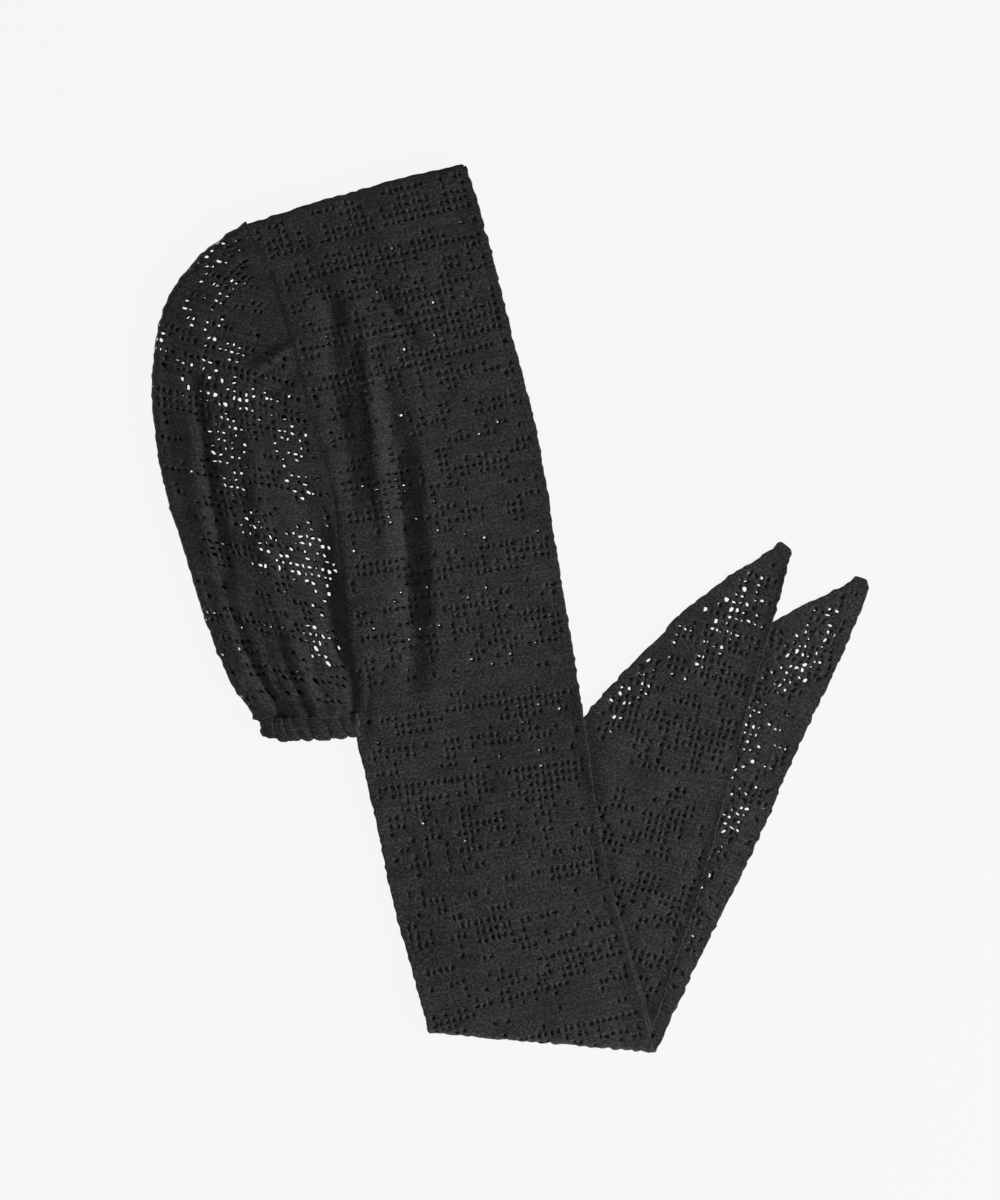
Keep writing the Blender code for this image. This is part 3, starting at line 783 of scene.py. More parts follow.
def unevenness(x, y, waves):
    """Sum of a set of waves at a place."""
    total = 0
    for kx, ky, phase in zip(*waves):
        total = total + np.sin(kx * x + ky * y + phase)
    return total * math.sqrt(2 / len(waves[0]))


# Waves of the edges across and along, of the net's drift across and along, and of the
# height: (seed, count, shortest and longest in metres)
SHORT_WAVES = [make_waves(seed, 12, 0.005, 0.013) for seed in (11, 12)]
DRIFT_WAVES = [make_waves(seed, 8, 0.009, 0.024) for seed in (14, 15)]
LONG_WAVES = make_waves(13, 10, 0.020, 0.060)


def lie_unevenly(place):
    """Gives the laid cloth the small unevenness of a soft net."""
    x = place[..., 0]
    y = place[..., 1]
    return place + np.stack([
        WAVER * unevenness(x, y, SHORT_WAVES[0]),
        WAVER * unevenness(x, y, SHORT_WAVES[1]),
        UNEVEN * unevenness(x, y, LONG_WAVES) * ease(place[..., 2] / UNEVEN_RUN)], -1)


def beside_front_edge(x, y):
    """Relief of the far tie beside the hood's front edge, from the distance to it."""
    _, edge_x, edge_y, heading = LIE["near"]
    away = (x - np.interp(-y, -edge_y, edge_x)) * np.cos(np.interp(-y, -edge_y, heading))
    hollow = np.exp(-(np.maximum(away, 0) / EDGE_HOLLOW_WIDTH) ** 2)
    swell = np.exp(-((away - EDGE_SWELL_PLACE) / EDGE_SWELL_WIDTH) ** 2)
    return EDGE_SWELL * swell - EDGE_HOLLOW * hollow


def far_tie_edge():
    """Folded-back front edge of the far tie on the floor plane, from low to high."""
    v = np.linspace(TIE_FOLDS["far"][0] * LENGTH["far"], LENGTH["far"], LOOP_STEPS)
    x, y = flat_place("far", front_inset("far", v), v)
    fx, fy, turned = fold_under("far", x, y)
    back = turned >= math.pi
    return fx[back], fy[back]


FAR_TIE_EDGE = far_tie_edge()


def beside_far_tie(x, y):
    """Swell of the near tie beside the far tie's edge, which lies on it."""
    edge_x, edge_y = FAR_TIE_EDGE
    away = (x - np.interp(y, edge_y, edge_x)) * math.cos(math.radians(FAR_TIE_LEAN))
    start, run = NEAR_SWELL_FALL
    swell = ease(away / NEAR_SWELL_RISE) * (1 - ease((away - start) / run))
    return NEAR_SWELL * swell * ease((edge_y[-1] - y) / NEAR_SWELL_END_RUN)


def curl(side, u):
    """Lift of a free front edge that curls up."""
    height, width = EDGE_LIFT[side]
    return height * np.exp(-(u / width) ** 2)


def near_lines(u, v, width):
    """Depth of the crown seam's groove and of the line inside the front edge."""
    hood = ease((v - TOP_AXIS_DROP) / SEAM_START_RUN)
    hood = hood * (1 - ease((v - NAPE + SEAM_END_RUN / 2) / SEAM_END_RUN))
    groove = SEAM_VALLEY * hood * np.exp(-((width - u) / SEAM_VALLEY_WIDTH) ** 2)
    start, start_run, end, end_run = EDGE_LINE_REACH
    line = ease((v - start) / start_run) * (1 - ease((v / PANEL_LENGTH - end) / end_run))
    return groove + EDGE_LINE_DEPTH * line * np.exp(
        -((u - EDGE_LINE_PLACE) / EDGE_LINE_WIDTH) ** 2)


def panel_place(side, u, v):
    """Place of a panel's middle surface in the laid headscarf."""
    x, y, turned_height = over_top_fold(side, u, v)
    width = panel_width(side, np.maximum(v, TOP_AXIS_DROP))
    across = u / width
    past = past_fold(side, x, y)
    fx, fy, turned = fold_under(side, x, y)
    radius = tie_fold(side)[2]
    returned = ease((past - math.pi * radius) / RETURN_RUN)
    if side == "near":
        upper = near_height(fx, fy, across, np.maximum(v, TOP_AXIS_DROP))
        lower = FLOOR_LEVEL + 0 * upper
    else:
        upper = far_height(fx, fy) + turned_height
        lower = FLOOR_LEVEL + LAYER_STEP * NEAR_COVER(fx, fy)
    upper = upper + ease(1 + past / DRAPE_RUN) * (lower + 2 * radius - upper)
    if side == "near":
        on_ties = ease((v / PANEL_LENGTH - CURL_START) / CURL_RISE)
        upper = upper + curl(side, u) * on_ties * ease(-past / CURL_END_RUN)
        lower = lower + beside_far_tie(fx, fy) * returned
        upper = upper - turned_height - near_lines(u, v, width)
    else:
        relief = beside_front_edge(fx, fy) * NEAR_COVER(fx, fy) + curl(side, u)
        lower = lower + returned * ease((LENGTH[side] - v) / TIP_RUN) * relief
    z = lower + radius * (1 + np.cos(turned))
    z = np.where(turned <= 0, upper, np.where(turned >= math.pi, lower, z))
    return lie_unevenly(np.stack([fx, fy, z], -1))


def seam_turn(side):
    """How far the top of a panel turns over the hood's top fold, in metres."""
    over = 90 - TOP_SEAM_ANGLE if side == "near" else 90 + TOP_SEAM_ANGLE
    return TOP_FOLD_RADIUS * math.radians(over) - SEAM_GAP / 2


def lobes(place, notches):
    """Round pleats between notches, 0 in each notch and 1 on top of each pleat."""
    notches = np.asarray(notches)
    i = np.clip(np.searchsorted(notches, place) - 1, 0, len(notches) - 2)
    t = np.clip((place - notches[i]) / (notches[i + 1] - notches[i]), 0, 1)
    size = (notches[i + 1] - notches[i]) * (len(notches) - 1)
    return np.sqrt(np.clip(np.sin(np.pi * t), 0, 1)) * np.clip(size, *PLEAT_SIZES)


def crown_run(v):
    """Near and far flat run of a crown section, from the seam to the back fold."""
    top = TOP_AXIS_DROP + CROWN_START
    down = (v - top) / (NAPE - top)
    seam_u = panel_width("near", v) + SEAM_GAP - CROWN_TUCK * (1 - ease(down / CROWN_TUCK_RUN))
    sx, sy, _ = over_top_fold("near", seam_u, v)
    tx, ty, _ = over_top_fold("far", seam_u, v)
    angle = np.radians(smooth_table(down, column(CROWN_SECTIONS, 0), column(CROWN_SECTIONS, 1)))
    reach = CROWN_REACH * smooth_table(
        down, column(CROWN_SECTIONS, 0), column(CROWN_SECTIONS, 2))
    run = np.maximum(reach - TOP_FOLD_RADIUS * ease(down / CROWN_TOP_RUN), 1e-5)
    bx, by = -np.sin(angle), np.cos(angle)
    back_x, back_y = sx + bx * run, sy + by * run
    far_run = np.hypot(back_x - tx, back_y - ty)
    return down, (sx, sy), (tx, ty), (bx, by), run, (back_x, back_y), far_run


HALF_TURN = math.pi * TOP_FOLD_RADIUS / 2


def clear_view(x, y, places):
    """1 where the gaps of both layers meet, easing to 0 around."""
    clear = np.zeros(np.shape(x))
    for cx, cy, half_length, half_width, degrees in places:
        turn = math.radians(degrees)
        along = (x - cx) * math.sin(turn) - (y - cy) * math.cos(turn)
        across = (x - cx) * math.cos(turn) + (y - cy) * math.sin(turn)
        far_out = np.hypot(along / half_length, across / half_width)
        clear = np.maximum(clear, 1 - ease((far_out - CLEAR_EASE[0]) / CLEAR_EASE[1]))
    return clear


def crown_place(w, v):
    """Place of the crown's middle surface, w from its back fold to the near seam."""
    down, seam, far_seam, back, run, corner, far_run = crown_run(v)
    narrow = 1 - ease(down / CROWN_FLOOR_RUN)
    floor = SINGLE_CLOTH / 2 + (FLOOR_LEVEL - SINGLE_CLOTH / 2) * narrow
    axis = floor + TOP_FOLD_RADIUS
    b = 1 - (w - HALF_TURN) / run
    near_b = np.clip(b, 0, 1)
    x = seam[0] + back[0] * run * near_b
    y = seam[1] + back[1] * run * near_b
    seam_z = near_height(x, y, 1 + near_b, v)
    swell = seam_z - (FLOOR_LEVEL + 2 * TOP_FOLD_RADIUS)
    rim = ease((1 - near_b) * run / SEAM_FLAT)
    gather = GATHER_HEIGHT * ease((down - GATHER_START) / (1 - GATHER_START))
    gather = gather * np.minimum(rim, ease(near_b / GATHER_RISE))
    wave = gather * (lobes(near_b, PLEAT_NOTCHES) - PLEAT_LEVEL)
    z = axis + TOP_FOLD_RADIUS + (FLOOR_LEVEL - floor) * (1 - ease(near_b)) + swell * rim + wave
    groove = np.exp(-(near_b * run / SEAM_VALLEY_WIDTH) ** 2) * ease(down / GROOVE_START)
    z = z - SEAM_VALLEY * groove
    z = z + CASING_LAP * ease((v - NAPE + LAP_RUN) / LAP_RUN) * ease(near_b / LAP_RISE)
    near = np.stack([x, y, z], -1)
    in_panel = np.maximum(-b * run, 0)
    held = panel_place("near", panel_width("near", v) - in_panel, v)
    turn = np.clip((HALF_TURN - w) / TOP_FOLD_RADIUS, 0, math.pi)
    out = TOP_FOLD_RADIUS * np.sin(turn)
    round_back = np.stack([corner[0] + out * back[0], corner[1] + out * back[1],
                           axis + TOP_FOLD_RADIUS * np.cos(turn)], -1)
    gone = -w - HALF_TURN
    c = np.clip(gone / far_run, 0, 1)
    far = np.stack([corner[0] + (far_seam[0] - corner[0]) * c,
                    corner[1] + (far_seam[1] - corner[1]) * c,
                    floor + (FLOOR_LEVEL - floor) * ease(c)], -1)
    in_far = np.maximum(gone - far_run, 0)
    far_held = panel_place("far", panel_width("far", v) - in_far, v)
    place = np.where((w > HALF_TURN)[..., None], near, round_back)
    place = lie_unevenly(np.where((w < -HALF_TURN)[..., None], far, place))
    place = np.where((gone > far_run)[..., None], far_held, place)
    return np.where((b < 0)[..., None], held, place)


def casing_place(side_share, d):
    """Place of the casing's middle surface: share along it and distance down it."""
    low = FLOOR_LEVEL + CASING_LIFT
    high = FLOOR_LEVEL + 2 * TOP_FOLD_RADIUS
    radius = (high - low) / 2
    run = CASING_HALF - radius + CASING_REACH
    v = NAPE + SEAM_GAP + d
    u = panel_width("near", v) - CASING_INSIDE
    x0, y0 = flat_place("near", u, v)
    x1, y1 = flat_place("far", u, v)
    b = np.minimum(side_share, 1)
    drop = d / CASING_HEIGHT
    lean = PLEAT_LEAN * (1 - drop)
    pleat = lobes(np.clip(b - lean * ease((1 - b) / PLEAT_LEAN_RUN), 0, 1), PLEAT_NOTCHES)
    rim = np.minimum(ease(b * PLEAT_FADE), ease((1 - b) * PLEAT_FADE))
    hem = ease((drop - HEM_START) / (1 - HEM_START))
    pillow = CASING_PILLOW * np.sin(np.pi * np.clip(drop, 0, 1))
    tucked = CASING_TUCK * ease(-b / TUCK_RUN)
    corner = CASING_CORNER * ease((b - CORNER_START) / (1 - CORNER_START))
    near = np.stack([
        x0 - run * b,
        y0 - CASING_DROP * b - (HEM_SCALLOP * (pleat - HEM_LEVEL) * rim - corner) * hem,
        high + pillow - tucked + PLEAT_HEIGHT * (pleat - PLEAT_LEVEL) * rim], -1)
    left_x, left_y = x0 - run, y0 - CASING_DROP
    a = np.clip(side_share - 1, 0, 1) * math.pi
    left_y = left_y + CASING_CORNER * hem
    end = np.stack([left_x - radius * np.sin(a), left_y + 0 * a,
                    low + radius * (1 + np.cos(a))], -1)
    c = np.clip(side_share - 2, 0, 1)
    far_pleat = lobes(c, FAR_PLEAT_NOTCHES)
    far_rim = np.minimum(ease(c * PLEAT_FADE), ease((1 - c) * PLEAT_FADE))
    far = np.stack([
        left_x + (x1 - left_x) * c,
        left_y + (y1 - left_y) * c - HEM_SCALLOP * (far_pleat - HEM_LEVEL) * far_rim * hem,
        low + FAR_PLEAT_SHARE * PLEAT_HEIGHT * (far_pleat - PLEAT_LEVEL) * far_rim], -1)
    place = np.where((side_share <= 1)[..., None], near, end)
    return lie_unevenly(np.where((side_share > 2)[..., None], far, place))


def surface_normals(place, u, v, step=0.0004):
    """Unit normals of a surface, from its slopes either way."""
    across = place(u + step, v) - place(u - step, v)
    along = place(u, v + step) - place(u, v - step)
    normal = np.cross(across, along)
    size = np.linalg.norm(normal, axis=-1, keepdims=True)
    return normal / np.maximum(size, 1e-12)


def chart_net(rows, columns, seed, share):
    """Charts the net: 0 for plain cloth, 1 a slit, 2 a full gap, 3 a wide one."""
    draw = np.random.default_rng(seed)
    chart = np.zeros((rows, columns), int)
    above = np.zeros(columns, bool)
    for r in range(rows):
        kind = draw.random()
        if kind < DENSE_ROW[0]:
            level = DENSE_ROW[1]
        elif kind < PLAIN_ROW[0]:
            level = PLAIN_ROW[1]
        else:
            level = share * draw.uniform(*MIXED_ROW)
        keep = RUN_ON[0] if level < DENSE_ROW[1] else RUN_ON[1]
        start = level * (1 - keep) / max(1 - level, 1 - DENSE_ROW[1])
        open_now = False
        line = np.zeros(columns, bool)
        for c in range(columns):
            chance = keep if open_now else start
            chance += BELOW_GAP if above[c] and level > PLAIN_ROW[1] else BELOW_CLOTH
            open_now = bool(draw.random() < chance)
            line[c] = open_now
        slits = draw.random(columns) < (SLITS[0] if draw.random() < SLIT_ROWS else SLITS[1])
        chart[r] = np.where(line, np.where(slits, 1, 2), 0)
        above = line
    return chart


def open_clear_cells(chart, clear, seed):
    """Opens the same cells in both layers of a clear place."""
    chance = np.random.default_rng(seed).random(chart.shape)
    return np.where((clear > 0.5) & (chance < CLEAR_SHARE), 3, chart)


def net_mesh(name, rows, first_row, low, high, columns, chart, place, shell, margin, seed):
    """Builds one ply of net as a closed mesh.

    rows: stations along the cloth, with a few close rows at both ends.
    first_row: the station where the chart of the net begins.
    low, high: limits of the cloth across, at each station.
    columns: regular places of the net's half cells across.
    shell: gives the two faces of the ply from the distance to the edge.
    """
    steps = np.array(EDGE_STEPS)
    edge_count = len(steps) - 1
    inner_low = low + steps[-1]
    inner_high = np.maximum(high - steps[-1], inner_low + 0.0001)
    core = np.clip(columns[None, :], inner_low[:, None], inner_high[:, None])
    left = low[:, None] + steps[None, :-1]
    right = high[:, None] - steps[None, :-1][:, ::-1]
    u = np.concatenate([left, core, right], axis=1)
    v = np.repeat(rows[:, None], u.shape[1], axis=1)
    row_count, column_count = u.shape
    ids = np.arange(row_count * column_count).reshape(row_count, column_count)
    for j in range(row_count):
        clamped_low = int((columns <= inner_low[j]).sum())
        clamped_high = int((columns >= inner_high[j]).sum())
        if clamped_low > 1:
            ids[j, edge_count:edge_count + clamped_low] = ids[j, edge_count + clamped_low - 1]
        if clamped_high > 1:
            start = edge_count + len(columns) - clamped_high
            ids[j, start:start + clamped_high] = ids[j, start]
    free = np.zeros(ids.shape, bool)
    free[:, edge_count:-edge_count] = (columns[None, :] > inner_low[:, None] + margin) & (
        columns[None, :] < inner_high[:, None] - margin)
    ends = np.minimum(rows - rows[0], rows[-1] - rows)
    free &= (ends > margin)[:, None]
    edge = np.minimum(np.minimum(u - low[:, None], high[:, None] - u), ends[:, None])
    on_edge = edge <= 1e-7

    draw = np.random.default_rng(seed)
    cells = []
    skip = np.zeros((row_count - 1, column_count - 1), bool)
    for r in range(chart.shape[0]):
        j = first_row + 2 * r
        for c in range(chart.shape[1]):
            i = edge_count + 2 * c
            if chart[r, c] and free[j:j + 3, i:i + 3].all():
                cells.append((j, i, chart[r, c]))
                skip[j:j + 2, i:i + 2] = True
    cells = np.array(cells).reshape(-1, 3)

    around = np.array([(0, 0), (1, 0), (2, 0), (2, 1), (2, 2), (1, 2), (0, 2), (0, 1)])
    middle_u = u[cells[:, 0] + 1, cells[:, 1] + 1]
    middle_v = v[cells[:, 0] + 1, cells[:, 1] + 1]
    wide = GAP_ACROSS / 2 * draw.uniform(*GAP_WIDE, len(cells))
    tall = GAP_ALONG / 2 * draw.uniform(*GAP_TALL, len(cells))
    tall = tall * np.where(cells[:, 2] == 1, SLIT_SHARE, 1)
    size = np.where(cells[:, 2] == 3, CLEAR_GAP, 1)
    wide = np.minimum(wide * size, CELL / 2 - GAP_SHIFT - BAR_HALF)
    tall = tall * size
    middle_u = middle_u + draw.uniform(-1, 1, len(cells)) * GAP_SHIFT
    middle_v = middle_v + draw.uniform(-1, 1, len(cells)) * GAP_SHIFT
    round_off = np.where(np.abs(around - 1).sum(1) == 2, GAP_CORNER, 1.0)
    hole_u = middle_u[:, None] + (around[:, 1] - 1) * round_off * wide[:, None]
    hole_v = middle_v[:, None] + (around[:, 0] - 1) * round_off * tall[:, None]

    flat_u = np.concatenate([u.ravel(), hole_u.ravel()])
    flat_v = np.concatenate([v.ravel(), hole_v.ravel()])
    middle = place(flat_u, flat_v)
    normal = surface_normals(place, flat_u, flat_v)
    face_out, face_in = shell(edge.ravel())
    grid_total = row_count * column_count
    grid_middle = middle[:grid_total]
    grid_normal = normal[:grid_total]
    outer = grid_middle + grid_normal * face_out[:, None]
    inner = grid_middle + grid_normal * face_in[:, None]
    hole_out, hole_in = shell(np.full(hole_u.size, WELL_INSIDE))
    hole_at = middle[grid_total:] + normal[grid_total:] * ((hole_out + hole_in) / 2)[:, None]
    points = np.concatenate([outer, inner, hole_at])
    flat = np.stack([flat_u, flat_v], 1)
    uv = np.concatenate([flat[:grid_total], flat])

    quads = np.stack([ids[:-1, :-1], ids[1:, :-1], ids[1:, 1:], ids[:-1, 1:]], -1)[~skip]
    on_edge = on_edge.ravel()
    outward = face_out.mean() > face_in.mean()
    faces = []
    for upper in (True, False):
        layer = quads if upper else np.where(on_edge[quads], quads, quads + grid_total)
        flip = (not upper) if outward else upper
        for quad in layer.tolist():
            corners = [quad[k] for k in range(4) if quad[k] != quad[k - 1]]
            if len(corners) > 2:
                faces.append(corners[::-1] if flip else corners)
    ring = ids[cells[:, :1] + around[:, 0], cells[:, 1:2] + around[:, 1]]
    hole_ids = 2 * grid_total + np.arange(hole_u.size).reshape(-1, 8)
    for upper in (True, False):
        outer_ring = ring if upper else ring + grid_total
        flip = (not upper) if outward else upper
        band = np.stack([outer_ring, np.roll(outer_ring, -1, 1),
                         np.roll(hole_ids, -1, 1), hole_ids], -1).reshape(-1, 4)
        faces += (band[:, ::-1] if flip else band).tolist()
    return plain_mesh(name, points, faces, uv)


def plain_mesh(name, points, faces, uv):
    """A smooth mesh from points, faces and a place on the cloth for each point."""
    loops = np.array([i for face in faces for i in face])
    used = np.unique(loops)
    renumber = np.zeros(len(points), int)
    renumber[used] = np.arange(len(used))
    mesh = bpy.data.meshes.new(name)
    mesh.from_pydata(points[used].tolist(), [], [[int(renumber[i]) for i in f] for f in faces])
    mesh.polygons.foreach_set("use_smooth", np.ones(len(mesh.polygons), bool))
    layer = mesh.uv_layers.new(name="Cloth")
    layer.data.foreach_set("uv", uv[loops].astype(np.float32).ravel())
    mesh.update()
    return mesh


def panel_rows(start, stop):
    """Stations of a panel's half cells, in step on both panels, and the first cell."""
    steps = np.array(EDGE_STEPS)
    first = math.ceil((start + 1.3 * steps[-1]) / CELL_ALONG)
    last = math.floor((stop - 1.3 * steps[-1]) / CELL_ALONG)
    regular = np.arange(2 * first, 2 * last + 1) * CELL_ALONG / 2
    return np.concatenate([start + steps, regular, stop - steps[::-1]]), first, last - first


def speck_cells():
    """Lone cells that are open through every ply, as (cell across, cell along)."""
    draw = np.random.default_rng(SPECK_SEED)
    across = draw.integers(2, int(PANEL_WIDTH / CELL) - 1, SPECK_COUNT)
    along = draw.integers(4, int(PANEL_LENGTH / CELL_ALONG) - 4, SPECK_COUNT)
    return across, along


def near_speck(u, v):
    """1 at the lone open cells, easing to 0 around them."""
    across, along = speck_cells()
    best = np.full(np.shape(u), 9.0)
    for i, j in zip(across, along):
        away = np.hypot(u / CELL - i - 0.5, v / CELL_ALONG - j - 0.5)
        best = np.minimum(best, away)
    return 1 - ease((best - SPECK_EASE[0]) / SPECK_EASE[1])


def end_rows(start, stop, count):
    """Stations of a net's half cells, with close rows at both ends."""
    steps = np.array(EDGE_STEPS)
    regular = np.linspace(start + steps[-1], stop - steps[-1], 2 * count + 1)
    return np.concatenate([start + steps[:-1], regular, stop - steps[:-1][::-1]])


def ply_shell(side):
    """Two faces of a panel's upper (1) or lower (-1) ply, turned in at its edges."""
    def faces(edge):
        turn = np.clip(edge / PLY_REACH, 0, 1)
        outer = PLY_REACH * np.sqrt(1 - (1 - turn) ** 2)
        inner = (PLY_REACH - PLY) * ease(edge / PLY_FILL)
        return side * outer, side * inner
    return faces


def crown_shell(edge):
    """Two faces of the crown's single ply, round at its edges."""
    turn = np.clip(edge / CROWN_RIM, 0, 1)
    half = CROWN_PLY / 2 * np.sqrt(1 - (1 - turn) ** 2)
    return half, -half


def panel_ply(name, side, ply, seed, share, drift):
    """One ply of a panel and tie."""
    start = TOP_AXIS_DROP - seam_turn(side)
    stop = LENGTH[side]
    rows, first_cell, count = panel_rows(start, stop)
    first_row = len(EDGE_STEPS)
    low = front_inset(side, rows)
    high = panel_width(side, np.maximum(rows, TOP_AXIS_DROP))
    widest = PANEL_WIDTH * PANEL_NET_REACH
    columns = np.arange(0, math.ceil(widest / CELL) * 2 + 1) * CELL / 2
    chart = chart_net(count, (len(columns) - 1) // 2, seed, share)
    centre_v = rows[first_row + 1:first_row + 2 * count:2]
    centre_u = columns[1::2]
    cell_u, cell_v = np.meshgrid(centre_u, centre_v)
    at = panel_place(side, cell_u, cell_v)
    clear = np.where(cell_v > TIE_FOLDS[side][0] * PANEL_LENGTH,
                     clear_view(at[..., 0], at[..., 1], TIE_CLEAR), 0)
    chart = open_clear_cells(chart, clear, PANEL_CLEAR_SEED)
    speck_across, speck_along = speck_cells()
    inside = speck_along - first_cell < count
    chart[speck_along[inside] - first_cell, speck_across[inside]] = 2
    chart = np.where(cell_v > stop - PLAIN_TIP, 0, chart)

    def place(u, v):
        if drift:
            part = v / PANEL_LENGTH
            width = panel_width(side, np.maximum(v, TOP_AXIS_DROP))
            side_run, top_run, tip_run = PANEL_DRIFT_RUN
            keep = ease((u - front_inset(side, v) - PLAIN_RIM / 2) / side_run)
            keep = keep * ease((width - u - PLAIN_RIM / 2) / side_run)
            keep = keep * ease((v - start) / top_run) * ease((stop - v) / tip_run)
            keep = keep * (1 - near_speck(u, v))
            across = np.interp(part, column(drift, 0), column(drift, 1))
            across = across + DRIFT_STRAY * unevenness(u, v, DRIFT_WAVES[0])
            along = np.interp(part, column(drift, 0), column(drift, 2))
            along = along + DRIFT_STRAY * unevenness(u, v, DRIFT_WAVES[1])
            u = u + CELL * across * keep
            v = v + CELL_ALONG * along * keep
        return panel_place(side, u, v)

    return net_mesh(name, rows, first_row, low, high, columns, chart, place,
                    ply_shell(ply), PLAIN_RIM, seed + 100)


def crown_cloth(name, seed, share):
    """The crown, from the far seam round its back fold to the near one."""
    start = TOP_AXIS_DROP + CROWN_START
    stop = NAPE + SEAM_ALLOWANCE
    dense = np.linspace(start, stop, 400)
    _, seam, _, back, run, _, _ = crown_run(dense)
    mid_x = seam[0] + back[0] * run * CROWN_ROWS_AT
    mid_y = seam[1] + back[1] * run * CROWN_ROWS_AT
    length = np.concatenate([[0], np.cumsum(np.hypot(np.diff(mid_x), np.diff(mid_y)))])
    count = round(length[-1] / CELL_ALONG)
    part = end_rows(0, length[-1], count)
    rows = np.interp(part, length, dense)
    _, _, _, _, run, _, far_run = crown_run(rows)
    low = -(HALF_TURN + far_run + SEAM_ALLOWANCE)
    high = HALF_TURN + run + SEAM_ALLOWANCE
    reach = math.ceil(max(high.max(), -low.min()) / CELL)
    columns = np.arange(-2 * reach, 2 * reach + 1) * CELL / 2
    chart = chart_net(count, 2 * reach, seed, share)
    first = len(EDGE_STEPS) - 1
    cell_w, cell_v = np.meshgrid(columns[1::2], rows[first + 1:first + 2 * count:2])
    at = crown_place(np.abs(cell_w), cell_v)
    clear = clear_view(at[..., 0], at[..., 1], CROWN_CLEAR)
    half = chart.shape[1] // 2
    near_clear = clear[:, half:]
    chart[:, half:] = open_clear_cells(chart[:, half:], near_clear, CROWN_CLEAR_SEED)
    mirrored = open_clear_cells(chart[:, :half][:, ::-1], near_clear, CROWN_CLEAR_SEED)
    chart[:, :half] = mirrored[:, ::-1]

    def place(w, v):
        at = crown_place(w, v)
        fold_run, edge_run, top_run = CROWN_DRIFT_RUN
        inside = w - np.interp(v, rows, low) - SEAM_ALLOWANCE
        stray = ease(-w / fold_run) * ease(inside / edge_run)
        stray = stray * (1 - clear_view(at[..., 0], at[..., 1], CROWN_CLEAR))
        shift = np.where(w < 0, 1, 0) * stray
        top = ease((v - start) / top_run)
        across = CROWN_DRIFT[0] * shift + DRIFT_STRAY * stray * unevenness(
            at[..., 0], at[..., 1], DRIFT_WAVES[0])
        along = CROWN_DRIFT[1] * shift + DRIFT_STRAY * stray * unevenness(
            at[..., 0], at[..., 1], DRIFT_WAVES[1])
        return crown_place(w + CELL * across, v + CELL_ALONG * along * top)

    return net_mesh(name, rows, first, low, high, columns, chart, place, crown_shell,
                    PLAIN_RIM + SEAM_ALLOWANCE - EDGE_STEPS[-1], seed + 100)


def casing_cloth(name):
    """The gathered casing: a flat tube of cloth, pleated on its elastic."""
    # Stations along the near half, round the outer end and back along the far half
    along = np.concatenate([
        np.linspace(CASING_START, 1, 153), 1 + np.linspace(0, 1, 13)[1:],
        2 + np.linspace(0, 1, 97)[1:]])
    # Stations down it, closer at its two edges
    down = CASING_HEIGHT * np.concatenate([
        [0, 0.02, 0.06], np.linspace(0.12, 0.88, 12), [0.94, 0.98, 1.0]])
    s, d = np.meshgrid(along, down, indexing="ij")
    middle = casing_place(s, d)
    normal = surface_normals(casing_place, s, d, 0.0002)
    edge = np.minimum(d, CASING_HEIGHT - d)
    turn = np.clip(edge / CASING_RIM, 0, 1)
    half = CASING_WALL * np.sqrt(np.clip(1 - (1 - turn) ** 2, 0, 1))
    length = np.where(s < 1, s * CASING_HALF, np.where(
        s < 2, CASING_HALF + (s - 1) * CASING_TURN,
        CASING_HALF + CASING_TURN + (s - 2) * CASING_HALF))
    rows, columns = s.shape
    outer = middle + normal * half[..., None]
    inner = middle - normal * half[..., None]
    points = np.concatenate([outer.reshape(-1, 3), inner.reshape(-1, 3)])
    uv = np.stack([length.ravel(), d.ravel()], 1)
    uv = np.concatenate([uv, uv])
    total = rows * columns
    ids = np.arange(total).reshape(rows, columns)
    other = ids + total
    other[:, 0] = ids[:, 0]
    other[:, -1] = ids[:, -1]
    faces = []
    for layer, flip in ((ids, False), (other, True)):
        quads = np.stack([layer[:-1, :-1], layer[1:, :-1], layer[1:, 1:], layer[:-1, 1:]], -1)
        quads = quads.reshape(-1, 4)
        faces += (quads[:, ::-1] if flip else quads).tolist()
    for r, flip in ((0, True), (-1, False)):
        for c in range(columns - 1):
            rim = [int(i) for i in (ids[r, c], ids[r, c + 1], other[r, c + 1], other[r, c])]
            rim = [rim[k] for k in range(4) if rim[k] != rim[k - 1]]
            faces.append(rim[::-1] if flip else rim)
    return plain_mesh(name, points, faces, uv)


def linear(hex_colour):
    """Linear colour of a hex sRGB one."""
    parts = [int(hex_colour[i:i + 2], 16) / 255 for i in (1, 3, 5)]
    return tuple(p / 12.92 if p <= 0.04045 else ((p + 0.055) / 1.055) ** 2.4 for p in parts) + (1,)


def add_node(tree, kind, settings=None, values=None, links=None):
    """Adds a node, sets its options and sockets, and links what comes in."""
    node = tree.nodes.new(kind)
    for name, value in (settings or {}).items():
        setattr(node, name, value)
    for name, value in (values or {}).items():
        node.inputs[name].default_value = value
    for name, source in (links or {}).items():
        tree.links.new(source, node.inputs[name])
    return node


